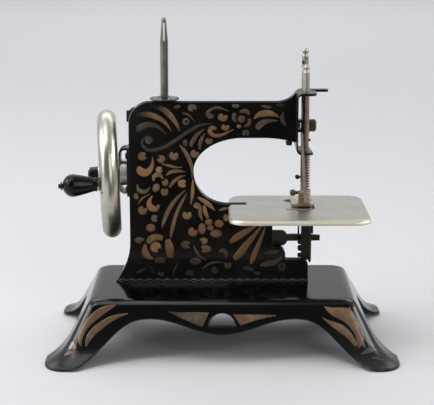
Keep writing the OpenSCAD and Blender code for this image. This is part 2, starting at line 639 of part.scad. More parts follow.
// the turned grip, from the collar at the wheel to its round end
module handle_knob() color([0.03, 0.03, 0.03]) on_wheel() translate([-grip_x, -handle_orbit, 0]) rotate([0, -90, 0])
  rotate_extrude() polygon(concat([[spindle_r + run_gap, 0], [3.1, 0], [3.3, 0.4], [3.3, 1.3], [3.1, 1.7]],
    [for (i = [0 : 8]) let (t = i / 8) [3.3 + (handle_d / 2 - 3.3) * (0.7 * t + 0.3 * sin(90 * t)), 2 + (handle_len - 7) * t]],
    arc(0, handle_len - 4.7, handle_d / 2, 5, 8, 70, 8), [[spindle_r + run_gap, handle_len + 0.1]]));

// lever outline in X and Z: eye, boss, tapering arm with a round tip, and the tail block
module needle_lever() color([0.36, 0.34, 0.27]) upright(works_y - lever_t / 2, works_y + lever_t / 2) difference() {
  union() {
    translate([pivot_x, pivot_z]) circle(5);
    translate([rod_x, pivot_z]) circle(3.4);
    polygon([[pivot_x, pivot_z - 4], [pivot_x, pivot_z + 4], [rod_x, pivot_z + 3], [rod_x, pivot_z - 3]]);
    polygon([[rod_x, pivot_z - 2.6], [rod_x, pivot_z + 3.2], [lever_tail_x + 5.3, pivot_z + 4.2],
      [lever_tail_x, pivot_z + 4.2], [lever_tail_x, pivot_z - 1.3], [lever_tail_x + 5.3, pivot_z - 1.3]]);
    translate([lever_tail_x + 4.3, pivot_z + 2.8]) circle(3.1);
    polygon([[pivot_x, pivot_z - 4], [arm_end_x - 7.4, carriage_z - 1.6], [lever_tip_x, carriage_z - lever_tip_r],
      [lever_tip_x, carriage_z + lever_tip_r], [arm_end_x - 7.4, carriage_z + 2.4], [pivot_x, pivot_z + 4]]);
    translate([lever_tip_x, carriage_z]) circle(lever_tip_r);
  }
  translate([pivot_x, pivot_z]) circle(1.8 + run_gap);
  translate([rod_x, pivot_z]) circle(rod_pin_r + run_gap);
}

// strip with an eye at the crank and a round pin at either end
module drive_rod() color([0.4, 0.38, 0.32]) union() {
  eye_y = shaft_y + (rod_x - column_x) * tan(shaft_skew) + crank_throw;
  eye_z = shaft_z + (rod_x - column_x) * tan(shaft_droop);
  along_x(rod_x - rod_t / 2, rod_x + rod_t / 2) difference() {
    union() {
      translate([eye_y - 2, looper_z]) square([4, pivot_z - looper_z]);
      for (z = [looper_z, pivot_z]) translate([eye_y, z]) circle(2);
      translate([eye_y, eye_z]) circle(4);
    }
    translate([eye_y, eye_z]) circle(rod_pin_r + pass_gap);
  }
  for (z = [looper_z, pivot_z]) translate([rod_x, 0, z]) bar_y(works_y - lever_t / 2 - 0.6, eye_y, rod_pin_r);
}

// lever outline in X and Z: eye at the rod, wide arm with round shoulders, narrow end
module looper_lever() color([0.36, 0.35, 0.26]) upright(works_y - lever_t / 2, works_y + lever_t / 2) difference() {
  polygon(concat(
    arc(rod_x, looper_z, 3.4, 3.4, 270, 90, 16),
    [[looper_pivot_x - 6, looper_z + 4.3]],
    arc(29.4, looper_z + 0.8, 2.8, 2.8, 90, 14, 6),
    [[33, looper_z + looper_half], [needle_bar_x, looper_z + looper_half], [looper_end_x, looper_z + looper_half - 0.5],
      [looper_end_x, looper_z - looper_half + 0.2], [33, looper_z - looper_half]],
    arc(29.4, looper_z - 1.1, 3, 3, -14, -90, 6),
    [[looper_pivot_x - 6, looper_z - 4.3]]));
  translate([looper_pivot_x, looper_z]) circle(1.8 + run_gap);
  translate([rod_x, looper_z]) circle(rod_pin_r + pass_gap);
}

module looper_wire() color([0.5, 0.48, 0.42]) translate([needle_bar_x - 2.1, works_y, looper_z + looper_half]) {
  cylinder(h = 7.8, r = 0.45);
  translate([0, 0, 7.8]) sphere(0.45);
  translate([0, 0, 6.9]) rotate([0, 60, 0]) cylinder(h = 1.6, r1 = 0.45, r2 = 0.15);
}

module ball_bar(r, z0, z1) {
  translate([0, 0, z0]) cylinder(h = z1 - 2.6 * r - z0, r = r);
  translate([0, 0, z1 - 2.6 * r]) cylinder(h = 0.8 * r, r1 = r, r2 = 0.7 * r);
  translate([0, 0, z1 - r * 1.03]) sphere(r * 1.03);
}

module needle_bar() color([0.62, 0.6, 0.54]) translate([needle_bar_x, works_y, 0]) difference() {
  ball_bar(needle_bar_r, bar_low_z, needle_bar_top);
  translate([0, 0, bar_low_z - 1.5]) cylinder(h = 5, r = 0.7);
  translate([0, 0, bar_low_z + 2]) bar_x(-5, 0, 0.6);
  translate([-needle_bar_r, 0, needle_bar_top - 10.8]) rotate([90, 0, 0]) cylinder(h = 9, r = 0.7, center = true);
}

module carriage() color([0.36, 0.33, 0.27]) difference() {
  translate([carriage_x0, works_y - carriage_y, carriage_z - carriage_h / 2])
    cube([carriage_x1 - carriage_x0, 2 * carriage_y, carriage_h]);
  translate([needle_bar_x, works_y, carriage_z - 10]) cylinder(h = 20, r = needle_bar_r);
  translate([carriage_x0 - 1, works_y - 5, carriage_z - lever_tip_r - pass_gap])
    cube([needle_bar_x - needle_bar_r - carriage_x0 + 1, 10, 2 * (lever_tip_r + pass_gap)]);
  translate([carriage_x1 - 2, works_y, carriage_z]) bar_x(0, 4, 1);
}

module thumb_screw() color([0.4, 0.37, 0.31]) translate([carriage_x1, works_y, carriage_z]) difference() {
  union() {
    translate([needle_bar_x + needle_bar_r - carriage_x1, 0, 0]) bar_x(0, 1.5, 1);
    bar_x(0, 2.6, 3);
    translate([2.6, 0, 0]) rotate([0, 90, 0]) cylinder(h = 0.6, r1 = 3, r2 = 2.2);
  }
  for (a = [0 : 15 : 345]) rotate([a, 0, 0]) translate([-1, -0.14, 2.8]) cube([4.6, 0.28, 1]);
}

module needle() color([0.7, 0.7, 0.7]) translate([needle_bar_x, works_y, 0]) {
  tip_z = cloth_z - needle_dip;
  translate([0, 0, tip_z]) cylinder(h = 2.2, r1 = 0.1, r2 = 0.45);
  translate([0, 0, tip_z + 2.2]) cylinder(h = bar_low_z - 2.1 - tip_z - 2.2, r = 0.45);
  translate([0, 0, bar_low_z - 2.1]) cylinder(h = 5.2, r = 0.7);
}

module needle_screw() color([0.1, 0.1, 0.09]) translate([needle_bar_x, works_y, bar_low_z + 2]) difference() {
  union() {
    bar_x(-2.4, -0.7, 0.6);
    translate([-3.1, 0, 0]) sphere(1.15);
  }
  translate([-5.2, -2, -0.2]) cube([1.3, 4, 0.4]);
}

module presser_bar() color([0.62, 0.6, 0.54]) translate([presser_x, presser_y, 0]) difference() {
  ball_bar(presser_r, cloth_z + 2.4, presser_top);
  translate([0, 0, presser_pin_z]) bar_x(-5, 5, 0.6);
  translate([0, 0, collar_top - 1.3]) bar_x(-5, -presser_r + 0.5, 0.8);
}

module presser_pin() color([0.12, 0.11, 0.1]) translate([presser_x, presser_y, presser_pin_z]) bar_x(-2, 2.3, 0.6);

module presser_foot() color([0.42, 0.34, 0.27]) difference() {
  union() {
    translate([presser_x, presser_y, cloth_z + 2.4]) cylinder(h = collar_lift - 2.4, r = 2.7);
    translate([presser_x - 3.4, presser_y - 3.4, cloth_z + pass_gap]) cube([5, 1.2, collar_lift - 1]);
    translate([presser_x - 2.6, presser_y - 3, cloth_z + 2.4]) cube([4.2, 3, 2.4]);
    translate([presser_x - 6.6, presser_y - 3.9, cloth_z + pass_gap]) cube([10, 16, 1.2]);
    along_x(presser_x - 4, presser_x + 2.4) translate([presser_y - 3.9, cloth_z + pass_gap + 3]) difference() {
      circle(3);
      circle(1.8);
      translate([0, -5]) square(10);
      translate([-5, -1]) square(10);
    }
  }
  translate([presser_x, presser_y, cloth_z + 2.4 - 1]) cylinder(h = 10, r = presser_r);
  translate([needle_bar_x - 4.8, works_y - 3.5, cloth_z]) cube([7.2, 8, 4]);
  translate([presser_x, presser_y, collar_top - 1.3]) bar_x(-5, 0, 0.8);
}

module foot_screw() color([0.5, 0.48, 0.43]) translate([presser_x, presser_y, collar_top - 1.3]) {
  difference() {
    rotate([0, -90, 0]) rotate_extrude() polygon(concat([[0, presser_r], [0.8, presser_r], [0.8, 4.7], [1.3, 4.7]],
      arc(0, 6.1, 1.6, 1.4, -35, 60, 10), [[0, 6.1 + 1.4 * sin(60)]]));
    translate([-8, -2, -0.2]) cube([1.1, 4, 0.4]);
  }
}

// slanted strip in front of the head, with a tab back to the foot
module foot_strip() color([0.45, 0.36, 0.3]) union() {
  upright(foot_strip_y, foot_strip_y + 0.8) polygon([[presser_x - 0.6, cloth_z + 3], [presser_x + 0.7, cloth_z + 3],
    [presser_x - 1.9, carriage_z - 1.4], [presser_x - 3.1, carriage_z - 1.4]]);
  translate([presser_x - 0.6, foot_strip_y, cloth_z + 3]) cube([1.3, presser_y - 3.4 - foot_strip_y, 1.2]);
}

// one unbroken coil, wound to the left: straight end, turns, straight end
spring_z0 = collar_top + 0.2;
spring_z1 = head_low_z - 0.2;
function coil_point(i, n) = let (
  r = (spring_od - wire_d) / 2, t = i / n, a = -360 * spring_turns * t, h = wire_d / 2)
  [r * cos(a), r * sin(a), spring_z0 + h + (spring_z1 - spring_z0 - 2 * h) * t];
module presser_spring() color([0.45, 0.38, 0.32]) translate([presser_x, presser_y, 0]) {
  n = spring_turns * 8;
  mid = [for (i = [0 : n]) coil_point(i, n)];
  path = concat([mid[0] + [0, wire_d, 0]], mid, [mid[n] + [0, -wire_d, 0]]);
  m = len(path);
  echo(str("presser_spring, least gap to itself in mm: ",
    min([for (i = [0 : m - 6], j = [i + 5 : m - 1]) norm(path[i] - path[j])]) - wire_d));
  rings = [for (i = [0 : m - 1]) let (
    d = path[min(i + 1, m - 1)] - path[max(i - 1, 0)], f = d / norm(d),
    o = [path[i][0], path[i][1], 0], u = (o - f * (o * f)) / norm(o - f * (o * f)), v = cross(f, u))
    [for (k = [0 : 5]) path[i] + wire_d / 2 * (cos(60 * k) * u + sin(60 * k) * v)]];
  polyhedron([for (r = rings, p = r) p], concat(
    [[for (k = [5 : -1 : 0]) k]],
    [for (i = [0 : m - 2], k = [0 : 5]) [i * 6 + k, i * 6 + (k + 1) % 6, (i + 1) * 6 + (k + 1) % 6]],
    [for (i = [0 : m - 2], k = [0 : 5]) [i * 6 + k, (i + 1) * 6 + (k + 1) % 6, (i + 1) * 6 + k]],
    [[for (k = [0 : 5]) (m - 1) * 6 + k]]));
}

base();
body_plate();
body_screws();
body_nuts();
head_bracket();
head_rivets();
head_screw();
cloth_plate();
needle_plate();
plate_post();
post_screws();
guide_strip();
bearing_bracket();
bearing_bridge();
bearing_bush();
bracket_rivets();
spool_pin();
spool_dish();
lever_rivet();
looper_stud();
hand_wheel();
main_shaft();
crank_disc();
axle_nut();
handle_spindle();
handle_knob();
needle_lever();
drive_rod();
looper_lever();
looper_wire();
needle_bar();
carriage();
thumb_screw();
needle();
needle_screw();
presser_bar();
presser_pin();
presser_foot();
foot_screw();
foot_strip();
presser_spring();
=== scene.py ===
import math

import bpy
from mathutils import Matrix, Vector
from mathutils.bvhtree import BVHTree


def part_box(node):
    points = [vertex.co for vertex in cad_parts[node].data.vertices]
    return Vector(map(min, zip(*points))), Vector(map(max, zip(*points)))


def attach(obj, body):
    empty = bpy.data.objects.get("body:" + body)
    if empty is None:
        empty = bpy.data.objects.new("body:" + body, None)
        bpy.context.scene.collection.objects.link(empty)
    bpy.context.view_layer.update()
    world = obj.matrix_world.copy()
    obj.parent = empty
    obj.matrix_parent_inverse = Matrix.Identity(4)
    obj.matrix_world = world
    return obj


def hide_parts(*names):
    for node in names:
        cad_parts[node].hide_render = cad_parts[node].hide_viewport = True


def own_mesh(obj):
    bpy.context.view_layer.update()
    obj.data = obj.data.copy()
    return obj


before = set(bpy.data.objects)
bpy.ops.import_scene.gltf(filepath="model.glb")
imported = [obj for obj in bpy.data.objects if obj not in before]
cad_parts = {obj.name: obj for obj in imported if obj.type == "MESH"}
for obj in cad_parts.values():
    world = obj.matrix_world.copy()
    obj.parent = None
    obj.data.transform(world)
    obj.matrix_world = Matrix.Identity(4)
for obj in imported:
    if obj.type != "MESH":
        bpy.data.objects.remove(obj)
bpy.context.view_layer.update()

# The camera: a long lens 0.6 m in front of the ornament side and a little above it, looking down
# by 13 degrees with no roll, where the photograph was taken from.
scene = bpy.context.scene
scene.view_settings.view_transform = "Standard"
lens = bpy.data.cameras.new("photo_camera")
lens.sensor_fit = "HORIZONTAL"
lens.sensor_width = 36.0
lens.lens = 107.42
lens.clip_start = 0.01
camera = bpy.data.objects.new("photo_camera", lens)
camera.location = (-0.00241, -0.6123, 0.20861)
camera.rotation_euler = (math.radians(77.04), 0.0, 0.0)
scene.collection.objects.link(camera)
scene.camera = camera

# The studio: a sheet of pale paper under and behind the machine, soft boxes at both sides, above
# and behind, two lamps that only show in gloss, a dark card in front, and a room that is paler
# behind.
def new_finish(name):
    finish = bpy.data.materials.new(name)
    finish.use_nodes = True
    return finish, finish.node_tree, finish.node_tree.nodes["Principled BSDF"]


def place(tree, kind, values=None, **settings):
    made = tree.nodes.new("ShaderNode" + kind)
    for key, value in settings.items():
        setattr(made, key, value)
    for key, value in (values or {}).items():
        made.inputs[key].default_value = value
    return made


def connect(tree, *links):
    """Joins sockets: each link gives a node, its output, the next node and its input."""
    for giver, given_by, taker, taken_at in links:
        tree.links.new(giver.outputs[given_by], taker.inputs[taken_at])


def ramp(tree, first, second, *more):
    """A ramp of colours, each given with its place from 0 to 1."""
    made = tree.nodes.new("ShaderNodeValToRGB")
    stops = made.color_ramp.elements
    stops[0].position, stops[1].position = first[0], second[0]
    stops[0].color, stops[1].color = (*first[1], 1.0), (*second[1], 1.0)
    for position, colour in more:
        stops.new(position).color = (*colour, 1.0)
    return made


def matt_sheet(name, scale, detail, dark, pale, specular):
    finish, tree, shader = new_finish(name)
    grain = place(tree, "TexNoise", {"Scale": scale, "Detail": detail})
    shade = ramp(tree, (0.0, dark), (1.0, pale))
    connect(tree,
            (grain, "Fac", shade, "Fac"),
            (shade, "Color", shader, "Base Color"))
    shader.inputs["Roughness"].default_value = 0.9
    shader.inputs["Specular IOR Level"].default_value = specular
    return finish


def new_piece(name, points, faces, finish):
    mesh = bpy.data.meshes.new(name)
    mesh.from_pydata(points, [], faces)
    mesh.update()
    for face in mesh.polygons:
        face.use_smooth = True
    piece = bpy.data.objects.new(name, mesh)
    mesh.materials.append(finish)
    scene.collection.objects.link(piece)
    return piece


paper = matt_sheet("pale_paper", scale=6.0, detail=3.0,
                   dark=(0.80, 0.81, 0.83), pale=(0.84, 0.845, 0.86), specular=0.0)
half = 6.0
floor = new_piece("floor", [(-half, -half, 0), (half, -half, 0), (half, half, 0), (-half, half, 0)],
                  [(0, 1, 2, 3)], paper)

card_finish = matt_sheet("dark_card", scale=4.0, detail=2.0,
                         dark=(0.05, 0.05, 0.052), pale=(0.07, 0.07, 0.072), specular=0.5)
card_left, card_right, card_near, card_far, card_z = -0.085, 0.9, -1.6, -0.14, 0.001
card = new_piece("front_card", [(card_left, card_near, card_z), (card_right, card_near, card_z),
                                (card_right, card_far, card_z), (card_left, card_far, card_z)],
                 [(0, 1, 2, 3)], card_finish)
card.visible_camera = False
card.visible_diffuse = False
card.visible_shadow = False

room = bpy.data.worlds.new("room")
room.use_nodes = True
scene.world = room
tree = room.node_tree
sky = tree.nodes["Background"]
way = place(tree, "TexCoord")
parts = place(tree, "SeparateXYZ")
depth = place(tree, "MapRange", {"From Min": -0.6, "From Max": 0.2})
tone = ramp(tree, (0.0, (0.10, 0.10, 0.104)), (1.0, (0.60, 0.605, 0.62)))
connect(tree,
        (way, "Generated", parts, "Vector"),
        (parts, "Y", depth, "Value"),
        (depth, "Result", tone, "Fac"),
        (tone, "Color", sky, "Color"))
sky.inputs["Strength"].default_value = 1.0


def soft_box(name, place_at, aim_at, wide, tall, watts):
    light = bpy.data.lights.new(name, "AREA")
    light.shape = "RECTANGLE"
    light.size = wide
    light.size_y = tall
    light.energy = watts
    lamp = bpy.data.objects.new(name, light)
    lamp.location = place_at
    lamp.rotation_euler = (Vector(aim_at) - Vector(place_at)).to_track_quat("-Z", "Y").to_euler()
    scene.collection.objects.link(lamp)
    return lamp


soft_box("strip_left", place_at=(-0.70, -0.31, 0.65), aim_at=(0, 0, 0.08), wide=0.18, tall=1.30,
         watts=3.5)
soft_box("side_left", place_at=(-0.9, 0.20, 0.75), aim_at=(0, 0, 0.05), wide=0.36, tall=0.40,
         watts=1.2)
soft_box("side_right", place_at=(0.9, 0.20, 0.75), aim_at=(0, 0, 0.05), wide=0.36, tall=0.40,
         watts=0.8)
soft_box("box_right", place_at=(0.46, -0.95, 0.52), aim_at=(0, 0, 0.08), wide=0.20, tall=0.90,
         watts=2.2)
soft_box("box_top", place_at=(-0.30, -0.05, 1.2), aim_at=(-0.1, 0, 0.05), wide=1.0, tall=0.6,
         watts=2.9)
soft_box("box_far", place_at=(0.0, 1.8, 1.5), aim_at=(0, 1.8, 0.0), wide=2.4, tall=1.2, watts=12.0)
sheen_left = soft_box("sheen_left", place_at=(-1.0, 0.05, 0.62), aim_at=(0, 0, 0.03), wide=0.5,
                      tall=0.26, watts=2.6)
sheen_right = soft_box("sheen_right", place_at=(0.95, -0.22, 0.62), aim_at=(0, 0, 0.03), wide=0.8,
                       tall=0.26, watts=4.2)
for sheen_lamp in (sheen_left, sheen_right):
    sheen_lamp.visible_diffuse = False

# Base: one sheet of steel pressed into four splayed legs, dipped in black japan and stoved. The
# film is glossy, a little uneven, and thin to the metal along its worn edges.
def new_group(name, gives, takes):
    group = bpy.data.node_groups.new(name, "ShaderNodeTree")
    for label, kind, value in takes:
        socket = group.interface.new_socket(label, in_out="INPUT", socket_type="NodeSocket" + kind)
        socket.default_value = value
    for label, kind in gives:
        group.interface.new_socket(label, in_out="OUTPUT", socket_type="NodeSocket" + kind)
    return group, group.nodes.new("NodeGroupInput"), group.nodes.new("NodeGroupOutput")


edge_wear_and_highlight, given, result = new_group(
    "edge_wear_and_highlight", [("Mask", "Float")],
    [("Reach", "Float", 0.0005), ("Grain", "Float", 900.0), ("Bare", "Float", 0.5)])
rounded = place(edge_wear_and_highlight, "Bevel", samples=6)
flat = place(edge_wear_and_highlight, "NewGeometry")
agree = place(edge_wear_and_highlight, "VectorMath", operation="DOT_PRODUCT")
edge = place(edge_wear_and_highlight, "MapRange", {"From Min": 0.97, "From Max": 0.75})
local = place(edge_wear_and_highlight, "TexCoord")
breakup = place(edge_wear_and_highlight, "TexNoise", {"Detail": 5.0, "Roughness": 0.65})
least = place(edge_wear_and_highlight, "MapRange", {"From Min": 0.62, "From Max": 0.35})
mask = place(edge_wear_and_highlight, "Math", operation="MULTIPLY")
amount = place(edge_wear_and_highlight, "Math", operation="MULTIPLY", use_clamp=True)
connect(edge_wear_and_highlight,
        (given, "Reach", rounded, "Radius"),
        (rounded, "Normal", agree, 0),
        (flat, "Normal", agree, 1),
        (agree, "Value", edge, "Value"),
        (local, "Object", breakup, "Vector"),
        (given, "Grain", breakup, "Scale"),
        (breakup, "Fac", least, "Value"),
        (edge, "Result", mask, 0),
        (least, "Result", mask, 1),
        (mask, "Value", amount, 0),
        (given, "Bare", amount, 1),
        (amount, "Value", result, "Mask"))

handling, given, result = new_group("handling", [("Dull", "Float"), ("Height", "Float")],
                                    [("Scale", "Float", 60.0), ("Fine", "Float", 900.0)])
local = place(handling, "TexCoord")
broad = place(handling, "TexNoise", {"Detail": 6.0, "Roughness": 0.6})
fine = place(handling, "TexNoise", {"Detail": 4.0, "Roughness": 0.6})
connect(handling,
        (local, "Object", broad, "Vector"),
        (local, "Object", fine, "Vector"),
        (given, "Scale", broad, "Scale"),
        (given, "Fine", fine, "Scale"),
        (broad, "Fac", result, "Dull"),
        (fine, "Fac", result, "Height"))

band, given, result = new_group("band", [("Height", "Float"), ("Slope", "Float")],
                                [("Low", "Float", 0.0), ("High", "Float", 1.0)])
for label, kind, output in (("Height", "TexCoord", "Object"), ("Slope", "NewGeometry", "Normal")):
    source = place(band, kind)
    split = place(band, "SeparateXYZ")
    share = place(band, "MapRange")
    connect(band,
            (source, output, split, "Vector"),
            (split, "Z", share, "Value"),
            (given, "Low", share, "From Min"),
            (given, "High", share, "From Max"),
            (share, "Result", result, label))

ground_dust_and_painted_light, given, result = new_group("ground_dust_and_painted_light", [("Share", "Float")],
                                       [("Low", "Float", 0.0), ("High", "Float", 0.02)])
local = place(ground_dust_and_painted_light, "TexCoord")
split = place(ground_dust_and_painted_light, "SeparateXYZ")
near = place(ground_dust_and_painted_light, "MapRange")
patches = place(ground_dust_and_painted_light, "TexNoise", {"Scale": 160.0, "Detail": 6.0, "Roughness": 0.7})
uneven = place(ground_dust_and_painted_light, "MapRange", {"From Min": 0.3, "From Max": 0.6, "To Min": 0.55})
share = place(ground_dust_and_painted_light, "Math", operation="MULTIPLY")
connect(ground_dust_and_painted_light,
        (local, "Object", split, "Vector"),
        (local, "Object", patches, "Vector"),
        (split, "Z", near, "Value"),
        (given, "High", near, "From Min"),
        (given, "Low", near, "From Max"),
        (patches, "Fac", uneven, "Value"),
        (near, "Result", share, 0),
        (uneven, "Result", share, 1),
        (share, "Value", result, "Share"))


def use(tree, group, **values):
    made = tree.nodes.new("ShaderNodeGroup")
    made.node_tree = group
    for key, value in values.items():
        made.inputs[key].default_value = value
    return made


def lay_over(finish, share, colour=None, rough=None):
    """Mixes a second colour, a second roughness or both over a finish, by a share from 0 to 1."""
    tree = finish.node_tree
    join = tree.links.new
    inputs = tree.nodes["Principled BSDF"].inputs
    for socket, kind, value in ((inputs["Base Color"], "RGBA", colour and (*colour, 1.0)),
                                (inputs["Roughness"], "FLOAT", rough)):
        if value:
            over = place(tree, "Mix", {"B": value}, data_type=kind)
            join(share, over.inputs["Factor"])
            join(socket.links[0].from_socket, over.inputs["A"])
            join(over.outputs["Result"], socket)


def japan(name, black, bare, gloss, dull, reach, bareness, soften, browned=None, matt=None,
          ior=1.45):
    """Black enamel: browned in clouds, worn at the edges, roughness by handling, corners rounded
    for light; faces that look up can be matt."""
    finish, tree, shader = new_finish(name)
    edge_share = use(tree, edge_wear_and_highlight, Reach=reach, Grain=1100.0, Bare=bareness)
    touch = use(tree, handling, Scale=70.0, Fine=1400.0)
    age = ramp(tree, (0.42, black), (0.68, browned or [1.6 * part for part in black]))
    colour = place(tree, "Mix", {"B": (*bare, 1.0)}, data_type="RGBA")
    sheen = place(tree, "MapRange", {"From Min": 0.3, "From Max": 0.7,
                                     "To Min": gloss, "To Max": dull})
    rounded = place(tree, "Bevel", {"Radius": soften}, samples=8)
    film = place(tree, "Bump", {"Strength": 0.04, "Distance": 0.00003})
    connect(tree,
            (touch, "Dull", age, "Fac"),
            (age, "Color", colour, "A"),
            (edge_share, "Mask", colour, "Factor"),
            (colour, "Result", shader, "Base Color"),
            (touch, "Dull", sheen, "Value"),
            (sheen, "Result", shader, "Roughness"),
            (rounded, "Normal", film, "Normal"),
            (touch, "Height", film, "Height"),
            (film, "Normal", shader, "Normal"))
    shader.inputs["IOR"].default_value = ior
    if matt:
        skyward = use(tree, band, Low=0.75, High=0.95)
        lay_over(finish, skyward.outputs["Slope"], rough=matt)
    return finish


def dress(finish, *names):
    for name in names:
        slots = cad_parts[name].data.materials
        slots.clear()
        slots.append(finish)


def scuff_and_paint_light(finish, rough, dust_and_painted_light, low, high):
    """Dulls a finish towards the ground and lays a second tone there, unevenly: dust with a painted
    sheen on the base's toes, painted shade on the wheel's lower part.
    """
    near = use(finish.node_tree, ground_dust_and_painted_light, Low=low, High=high)
    lay_over(finish, near.outputs["Share"], colour=dust_and_painted_light, rough=rough)


base_japan = japan("base_japan", black=(0.0016, 0.0016, 0.0018), bare=(0.2, 0.19, 0.18), gloss=0.07,
                   dull=0.16, reach=0.0006, bareness=0.35, soften=0.0012)
# The toes are dulled and greyed: partly dust, partly a painted sheen.
scuff_and_paint_light(base_japan, rough=0.26, dust_and_painted_light=(0.008, 0.008, 0.0085), low=0.002, high=0.022)
dress(base_japan, "base")

# Gilding on the legs: leaves and pointed panels laid on by brush in copper bronze, thin at the
# ends, rubbed, and slightly raised from the japan.
def along(points, steps):
    """A smooth path through points of x and z, with or without a width, in millimetres."""
    ends = [points[0]] + list(points) + [points[-1]]
    path = []
    for i in range(1, len(ends) - 2):
        a, b, c, d = ends[i - 1 : i + 3]
        for k in range(steps):
            t = k / steps
            path.append(tuple(
                0.5 * (2 * q + (r - p) * t + (2 * p - 5 * q + 4 * r - s) * t * t
                       + (3 * q - p - 3 * r + s) * t ** 3)
                for p, q, r, s in zip(a, b, c, d)))
    return path + [points[-1]]


def lie_on(name, start_y=-0.2, deepest=0.004, edge_y=0.002):
    """Gives a function that lays a point of x and z on the front of a node."""
    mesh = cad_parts[name].data
    skin = BVHTree.FromPolygons([v.co for v in mesh.vertices], [f.vertices for f in mesh.polygons])

    def onto(x, z, lift):
        start = Vector((x / 1000, start_y, z / 1000))
        spot, normal = skin.ray_cast(start, Vector((0, 1, 0)))[:2]
        if spot is None or spot.y > deepest:
            spot, normal = skin.find_nearest(Vector((x / 1000, edge_y, z / 1000)))[:2]
        return spot + normal * (lift / 1000)

    return onto


class Gilding:
    """Brush strokes and petals gathered into one mesh, with their own length and breadth as UV."""

    sunk = -0.05

    def __init__(self, onto):
        self.onto, self.points, self.faces, self.marks = onto, [], [], []

    def panel(self, one_side, other_side, across=4, thick=0.05):
        rows, last = [], len(one_side) - 1
        for i, ((x0, z0), (x1, z1)) in enumerate(zip(one_side, other_side)):
            row = []
            for k in range(across + 1):
                v = k / across
                row.append(len(self.points))
                lift = thick * (0.4 + 0.6 * math.sqrt(max(1 - (2 * v - 1) ** 2, 0)))
                self.points.append(self.onto(x0 + (x1 - x0) * v, z0 + (z1 - z0) * v, lift))
                self.marks.append((i / last, v))
            for x, z, v in ((x1, z1, 1.0), (x0, z0, 0.0)):
                row.append(len(self.points))
                self.points.append(self.onto(x, z, self.sunk))
                self.marks.append((i / last, v))
            rows.append(row)
        around = across + 3
        for one, two in zip(rows, rows[1:]):
            for k in range(around):
                n = (k + 1) % around
                self.faces.append((one[k], one[n], two[n], two[k]))
        self.faces.append(tuple(reversed(rows[0])))
        self.faces.append(tuple(rows[-1]))

    def stroke(self, points, across=4, steps=6, thick=0.05):
        path, left, right = along(points, steps), [], []
        for i, (x, z, width) in enumerate(path):
            before, after = path[max(i - 1, 0)], path[min(i + 1, len(path) - 1)]
            dx, dz = after[0] - before[0], after[1] - before[1]
            reach = max(width, 0.08) / 2 / (math.hypot(dx, dz) or 1.0)
            left.append((x + dz * reach, z - dx * reach))
            right.append((x - dz * reach, z + dx * reach))
        self.panel(left, right, across, thick)

    def petal(self, x, z, wide, tall, turn=0, bite=None, thick=0.05):
        count, bite_deep, bite_wide = 28, 0.75, 17
        c, s = math.cos(math.radians(turn)), math.sin(math.radians(turn))
        rim = []
        for k in range(count):
            a = 360 * k / count
            r = 1.0
            if bite is not None:
                away = abs((a - bite + 180) % 360 - 180)
                r = 1 - bite_deep * math.exp(-((away / bite_wide) ** 2))
            px, pz = r * wide * math.cos(math.radians(a)), r * tall * math.sin(math.radians(a))
            rim.append((x + px * c - pz * s, z + px * s + pz * c))
        first = len(self.points)
        for share, lift in ((0.0, thick), (0.55, thick * 0.9),
                            (1.0, thick * 0.4), (1.0, self.sunk)):
            for k in range(count if share else 1):
                px, pz = rim[k]
                self.points.append(self.onto(x + (px - x) * share, z + (pz - z) * share, lift))
                self.marks.append((0.35, 0.5 + 0.5 * share))
        for k in range(count):
            n = (k + 1) % count
            self.faces.append((first, first + 1 + n, first + 1 + k))
            for ring in (0, 1):
                a = first + 1 + ring * count
                self.faces.append((a + k, a + n, a + count + n, a + count + k))
        self.faces.append(tuple(first + 1 + 2 * count + k for k in range(count)))

    def piece(self, name, finish):
        made = new_piece(name, self.points, self.faces, finish)
        layer = made.data.uv_layers.new(name="brush")
        for loop in made.data.loops:
            layer.data[loop.index].uv = self.marks[loop.vertex_index]
        return made


brushed, given, result = new_group(
    "brushed_bronze", [("Gold", "Float"), ("Grain", "Float"), ("Cloud", "Float")],
    [("Rub", "Float", 0.5), ("Fade", "Float", 0.3)])
local = place(brushed, "TexCoord")
split = place(brushed, "SeparateXYZ")
breadth = place(brushed, "MapRange", {"From Min": 0.0, "From Max": 0.14, "To Min": 0.5})
centre = place(brushed, "MapRange", {"From Min": 1.0, "From Max": 0.86, "To Min": 0.5})
tail = place(brushed, "MapRange", {"From Min": 1.0, "From Max": 0.55})
keep = place(brushed, "Math", {0: 1.0}, operation="SUBTRACT")
lost = place(brushed, "Math", operation="MULTIPLY")
away = place(brushed, "Math", {0: 1.0}, operation="SUBTRACT")
sides = place(brushed, "Math", operation="MULTIPLY")
speck = place(brushed, "TexNoise", {"Scale": 420.0, "Detail": 5.0, "Roughness": 0.7})
cloud = place(brushed, "TexNoise", {"Scale": 150.0, "Detail": 3.0})
both = place(brushed, "Math", operation="MULTIPLY")
rubbed = place(brushed, "MapRange", {"From Min": 0.12, "From Max": 0.34})
least = place(brushed, "Math", {0: 1.0}, operation="SUBTRACT")
solid = place(brushed, "Math", operation="MAXIMUM")
shape = place(brushed, "Math", operation="MULTIPLY")
gold = place(brushed, "Math", operation="MULTIPLY", use_clamp=True)
connect(brushed,
        (local, "UV", split, "Vector"),
        (split, "Y", breadth, "Value"),
        (split, "Y", centre, "Value"),
        (breadth, "Result", sides, 0),
        (centre, "Result", sides, 1),
        (split, "X", tail, "Value"),
        (tail, "Result", keep, 1),
        (keep, "Value", lost, 0),
        (given, "Fade", lost, 1),
        (lost, "Value", away, 1),
        (local, "Object", speck, "Vector"),
        (local, "Object", cloud, "Vector"),
        (speck, "Fac", both, 0),
        (cloud, "Fac", both, 1),
        (both, "Value", rubbed, "Value"),
        (given, "Rub", least, 1),
        (rubbed, "Result", solid, 0),
        (least, "Value", solid, 1),
        (sides, "Value", shape, 0),
        (away, "Value", shape, 1),
        (shape, "Value", gold, 0),
        (solid, "Value", gold, 1),
        (gold, "Value", result, "Gold"),
        (speck, "Fac", result, "Grain"),
        (cloud, "Fac", result, "Cloud"))


